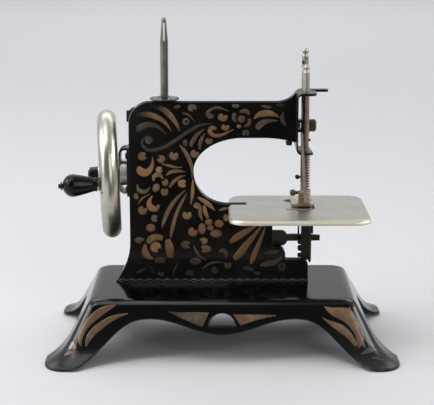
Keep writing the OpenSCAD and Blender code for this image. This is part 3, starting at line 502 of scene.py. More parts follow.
def bronze(name, colour, rub, fade, lacquer=0.0):
    """Bronze powder in varnish, warmer and cooler in clouds; the japan shows where it wears."""
    finish, tree, shader = new_finish(name)
    brush = use(tree, brushed, Rub=rub, Fade=fade)
    warm = [part * swing for part, swing in zip(colour, (1.08, 0.95, 0.9))]
    cool = [part * swing for part, swing in zip(colour, (0.92, 1.03, 0.93))]
    powder = ramp(tree, (0.4, warm), (0.6, cool))
    paint = place(tree, "Mix", {"A": (0.008, 0.006, 0.005, 1.0)}, data_type="RGBA")
    rough = place(tree, "MapRange", {"From Min": 0.3, "From Max": 0.7,
                                     "To Min": 0.38, "To Max": 0.55})
    connect(tree,
            (brush, "Cloud", powder, "Fac"),
            (powder, "Color", paint, "B"),
            (brush, "Gold", paint, "Factor"),
            (paint, "Result", shader, "Base Color"),
            (brush, "Grain", rough, "Value"),
            (rough, "Result", shader, "Roughness"))
    shader.inputs["Metallic"].default_value = 0.25
    shader.inputs["Coat Weight"].default_value = lacquer
    shader.inputs["Coat Roughness"].default_value = 0.16
    return finish


leg_gilding = Gilding(lie_on("base"))
for one_side, other_side in (
    (((-49.6, 26.1), (-53.9, 25.9), (-57.8, 24.6), (-61.1, 22.2), (-63.8, 19.2), (-65.9, 16.0),
      (-67.4, 12.5), (-65.8, 9.1)),
     ((-49.6, 26.0), (-52.5, 24.0), (-55.5, 22.1), (-58.4, 20.0), (-61.1, 17.9), (-63.4, 15.3),
      (-64.8, 12.3), (-65.4, 9.1))),
    (((-44.0, 22.7), (-48.0, 22.4), (-51.9, 21.5), (-55.4, 19.9), (-58.7, 17.9), (-61.4, 15.4),
      (-63.3, 12.4), (-63.5, 9.0)),
     ((-44.0, 22.3), (-47.4, 21.2), (-50.4, 19.7), (-53.4, 18.0), (-56.1, 15.9), (-58.8, 14.0),
      (-61.1, 11.5), (-62.9, 8.9))),
    (((-69.6, 10.5), (-70.5, 9.6), (-71.2, 8.5), (-71.9, 7.5)),
     ((-69.4, 10.5), (-68.3, 9.8), (-67.7, 8.7), (-67.8, 7.6))),
    (((-69.4, 7.0), (-70.8, 6.7), (-72.0, 6.1), (-73.2, 5.4)),
     ((-69.4, 6.5), (-70.3, 5.7), (-71.6, 5.4), (-73.0, 5.1))),
    (((47.5, 25.7), (51.6, 25.1), (55.8, 25.2), (59.7, 24.5), (62.2, 21.5), (64.0, 18.2),
      (65.8, 14.9), (66.0, 11.3), (63.5, 8.3)),
     ((47.6, 25.4), (49.6, 23.1), (52.1, 21.3), (55.0, 20.0), (57.7, 18.4), (59.9, 16.2),
      (61.6, 13.8), (62.5, 11.0), (63.2, 8.3))),
    (((46.8, 21.0), (49.5, 19.9), (52.5, 19.1), (55.3, 18.2), (57.8, 16.6), (59.8, 14.6),
      (61.3, 12.2), (62.6, 9.8)),
     ((46.8, 20.6), (49.0, 18.8), (51.2, 17.1), (53.5, 15.5), (55.8, 13.9), (58.1, 12.3),
      (60.0, 10.4), (62.1, 8.7))),
):
    leg_gilding.panel(along(one_side, 6), along(other_side, 6), across=8)
leg_gilding_finish = bronze("leg_bronze", colour=(0.265, 0.14, 0.07), rub=0.45, fade=0.15,
                            lacquer=0.8)
leg_panels = leg_gilding.piece("leg_gilding", leg_gilding_finish)
right_point = Gilding(leg_gilding.onto)
upper = ((5.2, 22.2), (10.1, 22.2), (15.1, 22.2), (20.1, 22.1), (25.1, 21.9))
lower = ((8.6, 17.6), (12.6, 18.8), (16.7, 19.9), (20.8, 20.8), (25.1, 21.5))
right_point.panel(along(upper, 6), along(lower, 6), across=8)
apron_point_right_finish = bronze("apron_bronze", colour=(0.25, 0.13, 0.065), rub=0.45, fade=0.2,
                                  lacquer=0.4)
right_panel = right_point.piece("apron_point_right", apron_point_right_finish)
left_point = Gilding(leg_gilding.onto)
upper = ((-6.0, 23.0), (-10.7, 23.1), (-15.4, 23.1), (-20.1, 23.0), (-24.8, 23.5))
lower = ((-9.4, 17.0), (-13.3, 18.3), (-17.1, 19.8), (-20.9, 21.4), (-24.6, 23.0))
left_point.panel(along(upper, 6), along(lower, 6), across=8)
apron_point_left_finish = bronze("olive_apron_bronze", colour=(0.17, 0.115, 0.066), rub=0.55,
                                 fade=0.75, lacquer=0.4)
left_panel = left_point.piece("apron_point_left", apron_point_left_finish)
toe_leaves = Gilding(leg_gilding.onto)
for one_side, other_side in (
    (((64.0, 6.1), (65.8, 7.3), (67.5, 8.4), (69.6, 8.1), (71.6, 7.3)),
     ((64.1, 5.8), (66.0, 6.1), (67.9, 6.4), (69.7, 6.7), (71.6, 7.1))),
    (((69.2, 5.0), (71.2, 4.7), (73.0, 4.1), (74.8, 3.6)),
     ((69.3, 4.6), (71.1, 4.1), (72.9, 3.8), (74.8, 3.4))),
):
    toe_leaves.panel(along(one_side, 6), along(other_side, 6), across=8)
toe_gilding_finish = bronze("worn_toe_bronze", colour=(0.075, 0.055, 0.052), rub=0.6, fade=0.4,
                            lacquer=0.8)
toe_panels = toe_leaves.piece("toe_gilding", toe_gilding_finish)
for panels in (leg_panels, right_panel, left_panel, toe_panels):
    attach(panels, "frame")

# Body plate: a C-shaped sheet pressed into a shallow pan, its foot flared forward and screwed to
# the base, japanned like it, with a painted highlight: a bright line along the shoulder's rim.
round_spot, given, result = new_group(
    "round_spot", [("Share", "Float")],
    [("Centre", "Vector", (0.0, 0.0, 0.0)), ("Reach", "Float", 0.001)])
local = place(round_spot, "TexCoord")
away = place(round_spot, "VectorMath", operation="DISTANCE")
core = place(round_spot, "Math", {1: 0.5}, operation="MULTIPLY")
inside = place(round_spot, "MapRange")
connect(round_spot,
        (local, "Object", away, 0),
        (given, "Centre", away, 1),
        (given, "Reach", core, 0),
        (away, "Value", inside, "Value"),
        (given, "Reach", inside, "From Min"),
        (core, "Value", inside, "From Max"),
        (inside, "Result", result, "Share"))


def blot(finish, tint, centre, reach, rim=None, dead=False):
    """One round spot of a second colour, for stains, pits, painted highlights and painted shade:
    over all of it, or only along the rim inside it. A dead spot gives back no shine."""
    tree = finish.node_tree
    join = tree.links.new
    share = use(tree, round_spot, Centre=centre, Reach=reach).outputs["Share"]
    if rim:
        edge_share = use(tree, edge_wear_and_highlight, Reach=rim, Grain=40.0, Bare=4.0)
        both = place(tree, "Math", operation="MULTIPLY")
        join(share, both.inputs[0])
        join(edge_share.outputs["Mask"], both.inputs[1])
        share = both.outputs["Value"]
    lay_over(finish, share, colour=tint, rough=0.95 if dead else None)
    if dead:
        plated = place(tree, "MapRange", {"To Min": 1.0, "To Max": 0.0})
        join(share, plated.inputs["Value"])
        join(plated.outputs["Result"], tree.nodes["Principled BSDF"].inputs["Metallic"])


body_japan = japan("body_japan", black=(0.0028, 0.0029, 0.0028), bare=(0.26, 0.24, 0.2), gloss=0.10,
                   dull=0.2, reach=0.0004, bareness=0.5, soften=0.0004,
                   browned=(0.012, 0.0085, 0.006), matt=0.8, ior=1.34)
# Painted highlight: a near-white line along the rim of the left shoulder.
blot(body_japan, tint=(0.85, 0.84, 0.80), centre=(-0.0428, 0.0034, 0.1118), reach=0.0085,
     rim=0.0006)
dress(body_japan, "body_plate")

# Scrollwork on the body: flowers, buds, fans of commas and one long S-scroll, brushed freehand in
# bronze powders from olive to copper and rose, some of them worn to a faint trace.
SPRIGS = [
    ("ember", (-20.4, 102.1, 0.2), (-21.6, 105.4, 1.6), (-24.4, 109.4, 2.6), (-28.3, 113, 2.7),
     (-32.6, 114.1, 1.1)),
    ("ember", (-24.3, 102.3, 0.2), (-27.4, 106.5, 1.7), (-31.7, 109.4, 2.6), (-36.6, 110.5, 2.7),
     (-41, 110, 1.5)),
    ("faint", (-40.7, 102.2, 1.1), (-39.6, 103.9, 2.9), (-35.4, 105.5, 2.7), (-31.1, 104.5, 1.6),
     (-26.5, 100.6, 0.2)),
    ("umber", (-18.9, 111.2, 0.7), (-16.7, 110.4, 1.1), (-14.9, 109, 0.7), (-13.2, 107, 0.2)),
    ("faint", (-35.5, 97.2, 2.4), (-34, 98, 1.6), (-35.7, 99.6, 1), (-38.4, 97.8, 1.1),
     (-38.1, 95, 1.3), (-35.6, 93.1, 1.5), (-31.3, 93.4, 1.6), (-26.3, 95.3, 1.7),
     (-20.8, 98.9, 1.7), (-15.8, 102.4, 1.6), (-10.9, 105.1, 1.2), (-5, 106.2, 0.2)),
    ("umber", (-4, 109.6, 1.2), (-5.6, 109.6, 2.6), (-6.9, 111.2, 1.8), (-5, 113, 1.3),
     (-1.6, 113.8, 1.2), (3.3, 112, 0.2)),
    ("amber", (-2.8, 103.4, 1.1), (-4.7, 104, 2), (-5.9, 102.2, 2.1), (-3.9, 100.3, 1.8),
     (0.1, 100.6, 1.5), (5.8, 103.4, 0.2)),
    ("umber", (8.5, 111.8, 1.2), (11.4, 112.2, 2), (13.2, 110.3, 1)),
    ("umber", (6.1, 111.1, 1.5), (5.6, 108.8, 2), (6.7, 106.8, 0.9)),
    ("umber", (13.2, 108.4, 1.6), (12.9, 105.9, 1.7), (10.5, 104.5, 0.6)),
    ("copper", (15.3, 108.4, 0.6), (17.9, 110.4, 2.6), (22.1, 111.1, 3.1), (25.8, 110.1, 1.6),
     (27.6, 109, 0.2)),
    ("umber", (17, 103.2, 2.1), (18.2, 105.4, 3.1), (21.6, 107.1, 2.2), (27.2, 107.6, 0.2)),
    ("faint", (29.6, 111.7, 0.4), (28.9, 109.1, 1.8), (29.5, 106.7, 1.8), (31.2, 104.7, 0.2)),
    ("umber", (-15, 94.8, 1.1), (-14.5, 96.8, 2.1), (-12, 100.5, 1.8), (-8.5, 103.4, 0.2)),
    ("umber", (-10.7, 93.3, 0.9), (-10.6, 96.1, 1.7), (-9.6, 98.9, 1.5), (-8.2, 101.3, 0.2)),
    ("olive", (-20.4, 95.5, 0.5), (-18.3, 93, 1.6), (-15.9, 88.6, 2), (-14.6, 84.2, 1.5),
     (-14.5, 79, 0.2)),
    ("gold", (-14.1, 79, 0.2), (-14.2, 74.7, 1.6), (-14.4, 70.8, 1.6), (-15.3, 65.8, 0.2)),
    ("gold", (-11.8, 69.7, 0.7), (-9.2, 68.2, 2.1), (-6.1, 65.8, 2.1), (-3.3, 63, 0.2)),
    ("olive", (-1.8, 63, 0.2), (0.8, 63.9, 1.5), (3.9, 64.4, 0.6)),
    ("gold", (-40.2, 85, 1.8), (-39.5, 82.9, 4), (-37.3, 81.8, 3.8), (-34.8, 83.5, 2.7),
     (-33.6, 86.4, 1.6), (-33.6, 89.8, 0.2)),
    ("olive", (-29.2, 86.3, 0.4), (-26.4, 85.6, 1.3), (-22.7, 84.7, 1.2), (-19, 84.6, 0.2)),
    ("copper", (-27.2, 80.6, 0.6), (-24.6, 82.3, 1.8), (-20.9, 82.8, 1.5), (-17.5, 82.3, 0.2)),
    ("olive", (-25.6, 74.6, 1), (-23.4, 77.5, 1.8), (-20.3, 79.8, 1.3), (-17.6, 80.6, 0.2)),
    ("amber", (-33.2, 77.9, 1), (-32.8, 80.3, 2.2), (-30.5, 81, 2.2), (-28.5, 79, 0.9)),
    ("olive", (-41.1, 76.2, 0.4), (-40.6, 73.7, 1.8), (-38.6, 72.4, 2.1), (-36.4, 73, 1.6),
     (-34.9, 75, 0.2)),
    ("olive", (-40.9, 66, 0.2), (-39, 69, 1), (-34.8, 71.6, 0.2)),
    ("gold", (-33.9, 70.5, 0.4), (-35.4, 67.7, 2.1), (-35, 65, 3.3), (-32.5, 63.9, 2.9),
     (-30.6, 65.9, 0.9)),
    ("olive", (-29.4, 54.1, 0.2), (-28.2, 58.1, 1.8), (-25.7, 63.9, 2.2), (-22.2, 69, 1.7),
     (-17.6, 73.6, 0.2)),
    ("amber", (-25.2, 49.2, 0.7), (-24.2, 54.3, 1.8), (-22.3, 61.3, 1.7), (-19.7, 67.1, 1.5),
     (-17, 72, 0.2)),
    ("amber", (-36.2, 46.6, 2.2), (-34.9, 48.6, 3.4), (-32.2, 49.6, 3.7), (-29, 49.2, 2.4)),
    ("copper", (-26.8, 48.6, 2.4), (-26.1, 46.2, 3.8), (-25.6, 43.2, 4.4), (-25.4, 39.2, 3)),
    ("amber", (-37.5, 46, 1.2), (-37.9, 43.3, 2.7), (-37.4, 41.2, 3.6), (-35.9, 39.5, 2.5),
     (-33.7, 38.8, 0.9)),
    ("faint", (-33, 37.6, 2), (-31.3, 37.9, 3), (-29.3, 37.9, 3.2), (-27.8, 37.9, 2.2)),
    ("amber", (-11.7, 64.4, 1), (-13.3, 65.3, 1.2), (-12.4, 66.6, 1.1), (-10.8, 65, 1.6),
     (-10.6, 61.4, 1.8), (-9.4, 57.5, 0.2)),
    ("gold", (-8.7, 65.7, 1.1), (-8.2, 62.6, 2.1), (-6.8, 59.3, 1.3)),
    ("umber", (-1.5, 42.2, 0.9), (0.5, 42.9, 2.2), (2, 41.2, 2.1), (1.9, 39, 0.5)),
    ("umber", (-14, 45.9, 0.2), (-12.7, 42.6, 1.1), (-10.5, 39.7, 1), (-7.4, 37.9, 0.2)),
    ("copper", (4.1, 47, 1.6), (6.7, 49.1, 3.4), (11.4, 52.2, 3.2), (17, 55.7, 0.9)),
    ("copper", (6, 38.6, 2.2), (8.3, 40.8, 3.7), (12.7, 46.5, 3.2), (19.5, 55.4, 0.7)),
    ("copper", (14.2, 36.3, 1), (15.5, 39.4, 2.7), (18, 45.9, 2.2), (21.5, 55.4, 0.6)),
    ("faint", (21, 41.7, 0.5), (23.4, 41.8, 2.4), (26.5, 42.1, 2.2), (28.8, 43, 0.2)),
    ("faint", (18.6, 35.3, 0.7), (22.1, 36.2, 3.1), (26.5, 37.3, 2.7), (30.4, 40.4, 0.4)),
    ("trace", (-42.2, 32.1, 0.4), (-39.7, 32.8, 1.7), (-36.8, 34.4, 0.2)),
    ("trace", (-34.7, 34.7, 0.5), (-33.9, 31.3, 0.2)),
    ("trace", (-24.5, 30.6, 0.2), (-22.8, 34.3, 1), (-20.8, 37.7, 0.2)),
    ("faint", (-9.8, 33.5, 0.2), (-6.7, 35.9, 1.1), (-3, 36.9, 1.1), (1.9, 36.8, 0.2)),
]
BUDS = [
    ("umber", -14.2, 113.6, 2.2, 1.9, 0, -60), ("faint", -21.6, 114.2, 1.8, 0.9, 10, None),
    ("umber", -35.5, 97.5, 1.6, 1.6, 0, None), ("copper", 0.4, 109, 2.4, 2, 0, 70),
    ("amber", 1.6, 104.2, 2, 1.6, 0, 80), ("umber", 9.3, 108.2, 1.8, 1.7, 0, None),
    ("amber", 8.1, 104.7, 1.1, 1, 0, None), ("umber", 6.5, 114.6, 1.8, 1, 0, None),
    ("faint", 11.5, 101.4, 1.8, 1.6, 0, -90), ("faint", 21.2, 114.2, 2.7, 0.7, -8, None),
    ("trace", 28.2, 115, 1.8, 0.8, 0, None), ("umber", -6.3, 97.5, 1.8, 1.7, 0, 80),
    ("amber", -13.2, 91.3, 2.1, 2, 0, 60), ("rose", -23.3, 90.3, 2.3, 2.2, 0, 85),
    ("faint", -17.8, 96.6, 1.2, 1.7, 0, None), ("amber", 2, 59.4, 1.4, 1.9, 10, None),
    ("olive", -38.4, 90, 2.3, 2.1, 0, 10), ("rose", -29.5, 88.7, 2.1, 1.9, 0, 150),
    ("gold", -30.3, 83.4, 1.9, 1.6, 0, 10), ("amber", -27.6, 77.1, 1.6, 1.9, 0, 120),
    ("olive", -32, 74.4, 1.7, 2.3, -25, None), ("olive", -27.9, 72.5, 1.9, 2.1, 0, 90),
    ("gold", -19.2, 76.5, 2.3, 2.1, 0, 0), ("amber", -41.7, 70.3, 1.4, 1.6, 0, 20),
    ("olive", -38.7, 63.2, 2.3, 2.3, 0, 60), ("olive", -32.9, 59.1, 1.8, 1.9, 0, 0),
    ("amber", -34.9, 54.4, 2.3, 2.1, 0, None), ("umber", -40.4, 48.1, 2.4, 1.7, 0, -30),
    ("gold", -32.4, 44.4, 2.8, 2.9, 0, -35), ("amber", -17, 60.7, 2.4, 2.2, 0, 90),
    ("olive", -6.4, 57.3, 1.9, 1.7, 0, None), ("copper", -1.4, 56.5, 2.2, 2, 0, None),
    ("amber", -5.6, 54.4, 1.6, 1.4, 0, None), ("copper", -2.8, 51.4, 3, 2.1, 0, None),
    ("amber", -9.7, 53.9, 1.9, 2.9, 0, None), ("amber", -14.2, 52.3, 2.4, 2.5, 0, 60),
    ("amber", -8.9, 47.8, 2.1, 1.7, 0, 200), ("copper", -8, 43.6, 2.9, 2.2, 0, 180),
    ("umber", -17.7, 45.7, 2.5, 2.2, 0, 0), ("faint", -13, 37.3, 2.9, 1.9, 0, None),
    ("trace", -29.9, 31.4, 1.6, 1.2, 0, 90), ("trace", -15.5, 31.8, 2.3, 1.4, 0, 0),
    ("trace", -3.3, 33.1, 1.7, 1.9, 0, 60), ("faint", 3, 35.4, 1.9, 1.8, 0, 90),
    ("trace", 13.1, 33.7, 2.8, 1.2, -10, None), ("trace", 17.4, 31.7, 1.6, 0.9, 0, None),
    ("trace", 29.4, 34.6, 1.9, 2.3, 0, None),
]
POWDERS = {
    "gold": ((0.45, 0.245, 0.105), 0.25, 0.3),
    "olive": ((0.27, 0.172, 0.086), 0.3, 0.3),
    "amber": ((0.33, 0.19, 0.086), 0.35, 0.3),
    "rose": ((0.37, 0.18, 0.092), 0.3, 0.3),
    "ember": ((0.29, 0.155, 0.07), 0.35, 1.3),
    "copper": ((0.29, 0.152, 0.063), 0.3, 0.35),
    "umber": ((0.175, 0.115, 0.067), 0.45, 0.3),
    "faint": ((0.11, 0.072, 0.045), 0.5, 0.3),
    "trace": ((0.022, 0.018, 0.015), 0.5, 0.3),
}
body_skin = lie_on("body_plate")
for powder, (colour, rub, fade) in POWDERS.items():
    scrolls = Gilding(body_skin)
    for name, *points in SPRIGS:
        if name == powder:
            scrolls.stroke(points)
    for name, *bud in BUDS:
        if name == powder:
            scrolls.petal(*bud)
    painted = scrolls.piece("scrollwork_" + powder, bronze(powder + "_bronze", colour, rub, fade))
    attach(painted, "frame")

# Border of the skirt: a twist of two strands in tarnished silver bronze along its lower lip, one
# laid on thick at each turn, the other a thin line.
border = Gilding(body_skin)
border_left, border_z = -51.0, 28.75
for lead in (1, -1):
    border.stroke([(border_left + 1.1 * k, border_z + lead * 0.5 * math.sin(math.pi * k / 4), 0.2)
                   for k in range(86)],
                  across=2, steps=3, thick=0.03)
for k in range(21):
    x = border_left + 4.4 * k
    border.stroke([(x + 0.8, border_z + 0.2, 0.15), (x + 1.6, border_z + 0.45, 0.5),
                   (x + 2.4, border_z + 0.45, 0.55), (x + 3.3, border_z + 0.2, 0.15)],
                  across=2, steps=3, thick=0.03)
skirt_border_finish = bronze("silver_bronze", colour=(0.18, 0.165, 0.15), rub=0.55, fade=0.0)
border_line = border.piece("skirt_border", skirt_border_finish)
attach(border_line, "frame")

# Screws and nuts of the body: three round heads through the foot flange, square nuts under the base
# top. Plain steel, blackened by age.
def metal(name, bright, dull, smooth_at, rough_at, scale, spread=(0.35, 0.65), soften=0.0003):
    """Bare or plated metal: two tones in clouds, roughness by handling, corners rounded for
    light."""
    finish, tree, shader = new_finish(name)
    touch = use(tree, handling, Scale=scale, Fine=1600.0)
    stain = place(tree, "MapRange", {"From Min": spread[0], "From Max": spread[1]})
    colour = place(tree, "Mix", {"A": (*bright, 1.0), "B": (*dull, 1.0)}, data_type="RGBA")
    rough = place(tree, "MapRange", {"From Min": 0.3, "From Max": 0.7,
                                     "To Min": smooth_at, "To Max": rough_at})
    rounded = place(tree, "Bevel", {"Radius": soften}, samples=8)
    scratch = place(tree, "Bump", {"Strength": 0.05, "Distance": 0.00003})
    connect(tree,
            (touch, "Dull", stain, "Value"),
            (stain, "Result", colour, "Factor"),
            (colour, "Result", shader, "Base Color"),
            (touch, "Dull", rough, "Value"),
            (rough, "Result", shader, "Roughness"),
            (rounded, "Normal", scratch, "Normal"),
            (touch, "Height", scratch, "Height"),
            (scratch, "Normal", shader, "Normal"))
    shader.inputs["Metallic"].default_value = 1.0
    return finish


screw_steel = metal("screw_steel", bright=(0.075, 0.07, 0.06), dull=(0.03, 0.028, 0.025),
                    smooth_at=0.3, rough_at=0.5, scale=120.0)
dress(screw_steel, "body_screws", "body_nuts")

# Head bracket: a U of black strip riveted to the arm's end, with two lugs for the bars and a bent
# thread tongue; the film is rubbed brown where the bars and the thread touch it.
head_japan = japan("head_japan", black=(0.003, 0.003, 0.003), bare=(0.24, 0.21, 0.17), gloss=0.14,
                   dull=0.3, reach=0.0004, bareness=0.6, soften=0.0003)
dress(head_japan, "head_bracket", "head_rivets", "head_screw")

# Plate post: a length of bar stock that carries the cloth plate, held by three round-head screws
# and japanned with them in place.
post_japan = japan("post_japan", black=(0.004, 0.004, 0.004), bare=(0.14, 0.125, 0.1), gloss=0.2,
                   dull=0.34, reach=0.0004, bareness=0.5, soften=0.0003)
dress(post_japan, "plate_post", "post_screws")

# Guide strip: a thin strip of sheet steel, cut to a point and hung in front of the post. It is
# bare metal, browned by oil.
strip_steel = metal("strip_steel", bright=(0.075, 0.068, 0.045), dull=(0.03, 0.028, 0.02),
                    smooth_at=0.3, rough_at=0.5, scale=110.0)
dress(strip_steel, "guide_strip")

# Cloth plate and its needle insert: sheet steel with a rolled rim, nickel plated, polished, then
# dulled by cloth; the plating has gone warm and thin over the roll.
def turn_tone(finish, tone, by, low, high, rough=None):
    """Lays a second tone, and a second roughness, over a metal by its height or by its slope."""
    reach = use(finish.node_tree, band, Low=low, High=high)
    lay_over(finish, reach.outputs[by], colour=tone, rough=rough)


rust_spots, given, result = new_group("rust_spots", [("Share", "Float")],
                                      [("Scale", "Float", 300.0), ("Many", "Float", 0.1)])
local = place(rust_spots, "TexCoord")
cells = place(rust_spots, "TexVoronoi")
split = place(rust_spots, "SeparateColor")
few = place(rust_spots, "Math", {0: 1.0}, operation="SUBTRACT")
chosen = place(rust_spots, "Math", operation="GREATER_THAN")
core = place(rust_spots, "MapRange", {"From Min": 0.16, "From Max": 0.08})
both = place(rust_spots, "Math", operation="MULTIPLY")
connect(rust_spots,
        (local, "Object", cells, "Vector"),
        (given, "Scale", cells, "Scale"),
        (cells, "Color", split, "Color"),
        (given, "Many", few, 1),
        (split, "Red", chosen, 0),
        (few, "Value", chosen, 1),
        (cells, "Distance", core, "Value"),
        (chosen, "Value", both, 0),
        (core, "Result", both, 1),
        (both, "Value", result, "Share"))

for finish_name, plate in (("plate_nickel", "needle_plate"), ("rim_nickel", "cloth_plate")):
    nickel = metal(finish_name, bright=(0.56, 0.545, 0.505), dull=(0.46, 0.435, 0.385),
                   smooth_at=0.26, rough_at=0.40, scale=45.0)
    if plate == "cloth_plate":
        turn_tone(nickel, tone=(0.88, 0.79, 0.64), by="Slope", low=0.96, high=0.5, rough=0.5)
    rust = use(nickel.node_tree, rust_spots, Scale=300.0, Many=0.14)
    lay_over(nickel, rust.outputs["Share"], colour=(0.07, 0.055, 0.04))
    # Painted shade: a dark, dead spot over the thread slot.
    blot(nickel, tint=(0.012, 0.011, 0.01), centre=(0.0337, 0.0108, 0.0661), reach=0.0042,
         dead=True)
    dress(nickel, plate)

# Bearing leg: a bracket of steel strip riveted to the body's left rim, where it carries the shaft.
# It is japanned black with its rivets, and rubbed brown along the edges.
leg_japan = japan("leg_japan", black=(0.005, 0.005, 0.005), bare=(0.22, 0.19, 0.15), gloss=0.14,
                  dull=0.3, reach=0.0004, bareness=0.6, soften=0.0003)
dress(leg_japan, "bearing_bracket", "bracket_rivets")

# Bearing strap: a hat-shaped bow of steel over the leg, blackened at its top and worn to a tan
# brown towards the bottom.
strap_steel = metal("strap_steel", bright=(0.40, 0.32, 0.215), dull=(0.22, 0.17, 0.11),
                    smooth_at=0.28, rough_at=0.45, scale=90.0)
turn_tone(strap_steel, tone=(0.014, 0.012, 0.01), by="Height", low=0.086, high=0.092)
dress(strap_steel, "bearing_bridge")

# Bearing bush: a turned ring that fills the room between leg and strap. It is nickel plated and
# stained in patches with old oil.
bush_nickel = metal("bush_nickel", bright=(0.74, 0.72, 0.67), dull=(0.09, 0.08, 0.06),
                    smooth_at=0.3, rough_at=0.45, scale=300.0, spread=(0.5, 0.62))
dress(bush_nickel, "bearing_bush")

# Spool pin and its dish: a slotted tube rolled from strip, and the dished washer that the thread
# spool turns on. Both are nickel plated, and the dish is coloured darker all over as painted shade.
pin_nickel = metal("pin_nickel", bright=(0.30, 0.285, 0.26), dull=(0.17, 0.155, 0.135),
                   smooth_at=0.28, rough_at=0.44, scale=90.0)
dress(pin_nickel, "spool_pin")
# Painted shade: the dish is darker all over than the pin.
shaded_dish_nickel = metal("shaded_dish_nickel", bright=(0.20, 0.19, 0.18), dull=(0.07, 0.066, 0.062),
                    smooth_at=0.2, rough_at=0.34, scale=90.0)
dress(shaded_dish_nickel, "spool_dish")

# Needle lever, drive rod and looper: flat steel strip and wire, stamped, bent and riveted together
# behind the body. They are bare, and oiled brown.
works_steel = metal("works_steel", bright=(0.085, 0.078, 0.052), dull=(0.035, 0.032, 0.023),
                    smooth_at=0.3, rough_at=0.5, scale=70.0)
dress(works_steel, "needle_lever", "drive_rod", "looper_lever", "looper_wire", "looper_stud")

# Lever rivet: a steel rivet through the body, japanned over; the film has worn to a bright ring on
# the crown of its head, with a dark dimple left by the punch.
rivet_steel = metal("rivet_steel", bright=(0.30, 0.31, 0.32), dull=(0.12, 0.12, 0.125),
                    smooth_at=0.36, rough_at=0.52, scale=240.0)
from_axis, given, result = new_group(
    "from_axis", [("Distance", "Float")],
    [("Level", "Vector", (1.0, 1.0, 1.0)), ("Centre", "Vector", (0.0, 0.0, 0.0))])
local = place(from_axis, "TexCoord")
level = place(from_axis, "VectorMath", operation="MULTIPLY")
away = place(from_axis, "VectorMath", operation="DISTANCE")
connect(from_axis,
        (local, "Object", level, 0),
        (given, "Level", level, 1),
        (level, "Vector", away, 0),
        (given, "Centre", away, 1),
        (away, "Value", result, "Distance"))

low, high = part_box("lever_rivet")
tree = rivet_steel.node_tree
middle = ((low.x + high.x) / 2, 0.0, (low.z + high.z) / 2)
radius = use(tree, from_axis, Level=(1.0, 0.0, 1.0), Centre=middle)
share = place(tree, "MapRange", {"From Min": 0.0, "From Max": 0.0025})
film, bare = (1.0, 1.0, 1.0), (0.0, 0.0, 0.0)
ring = ramp(tree, (0.22, film), (0.36, bare), (0.58, bare), (0.72, film))
connect(tree,
        (radius, "Distance", share, "Value"),
        (share, "Result", ring, "Fac"))
lay_over(rivet_steel, ring.outputs["Color"], colour=(0.012, 0.012, 0.013))
dress(rivet_steel, "lever_rivet")

# Shaft, crank disc and square nut: turned steel that carries the wheel, with the disc on its inner
# end and the nut on its outer end. They are bare and dark with oil.
shaft_steel = metal("shaft_steel", bright=(0.16, 0.145, 0.11), dull=(0.06, 0.052, 0.04),
                    smooth_at=0.26, rough_at=0.45, scale=90.0)
dress(shaft_steel, "main_shaft", "crank_disc")
dress(screw_steel, "axle_nut")

# Hand wheel: cast iron, ground round and nickel plated, the plating yellowed and thin in places,
# with one small pit on the rim, a blackened boss under the handle, and painted shade on its lower
# part.
wheel_nickel = metal("wheel_nickel", bright=(0.70, 0.675, 0.61), dull=(0.54, 0.505, 0.43),
                     smooth_at=0.24, rough_at=0.32, scale=28.0, soften=0.0012)
# Painted shade: the wheel is darkened and dulled, unevenly, towards its bottom.
scuff_and_paint_light(wheel_nickel, rough=0.42, dust_and_painted_light=(0.27, 0.26, 0.225), low=0.052, high=0.078)
blot(wheel_nickel, tint=(0.03, 0.027, 0.022), centre=(-0.0563, -0.0195, 0.0768), reach=0.0008)
blot(wheel_nickel, tint=(0.05, 0.046, 0.04), centre=(-0.0595, -0.0145, 0.0805), reach=0.0055)
dress(wheel_nickel, "hand_wheel")

# Handle: a turned wooden grip, dipped black and polished by hands. It spins on a steel spindle that
# is riveted over at its end.
handle_black = japan("handle_black", black=(0.002, 0.002, 0.0022), bare=(0.05, 0.035, 0.025),
                     gloss=0.2, dull=0.3, reach=0.0004, bareness=0.4, soften=0.0006, ior=1.34)
dress(handle_black, "handle_knob")
dress(screw_steel, "handle_spindle")

# Needle bar: turned steel with a ball end, nickel plated, yellowed and stained, with a dark spot
# of painted shade for the thread hole near its top; its needle screw is blackened steel.
bar_nickel = metal("bar_nickel", bright=(0.54, 0.52, 0.455), dull=(0.34, 0.315, 0.26),
                   smooth_at=0.34, rough_at=0.48, scale=140.0)
turn_tone(bar_nickel, tone=(0.10, 0.078, 0.062), by="Height", low=0.0965, high=0.0935)
# Painted shade: a dark, dead spot for the thread hole.
blot(bar_nickel, tint=(0.01, 0.009, 0.008), centre=(0.0388, 0.0078, 0.1348), reach=0.0012,
     dead=True)
dress(bar_nickel, "needle_bar")
dress(screw_steel, "needle_screw")

# Needle: drawn steel wire, ground to a point and polished bright. The screw in the foot of its bar
# clamps it.
needle_steel = metal("needle_steel", bright=(0.62, 0.61, 0.59), dull=(0.42, 0.40, 0.37),
                     smooth_at=0.14, rough_at=0.3, scale=160.0)
dress(needle_steel, "needle")

# Carriage and its knurled screw: small parts of turned and milled steel, clamped on the needle bar
# where the lever moves it. They have gone grey brown.
carriage_steel = metal("carriage_steel", bright=(0.17, 0.15, 0.115), dull=(0.07, 0.06, 0.045),
                       smooth_at=0.28, rough_at=0.46, scale=120.0)
dress(carriage_steel, "carriage", "thumb_screw")

# Presser bar: turned steel with a ball end, nickel above the upper lug, and below it rubbed through
# to copper brown; a pin of dark steel crosses it.
bar_copper = metal("bar_copper", bright=(0.47, 0.355, 0.265), dull=(0.28, 0.20, 0.14),
                   smooth_at=0.36, rough_at=0.5, scale=140.0)
turn_tone(bar_copper, tone=(0.50, 0.48, 0.425), by="Height", low=0.1195, high=0.1215)
dress(bar_copper, "presser_bar")
dress(screw_steel, "presser_pin")

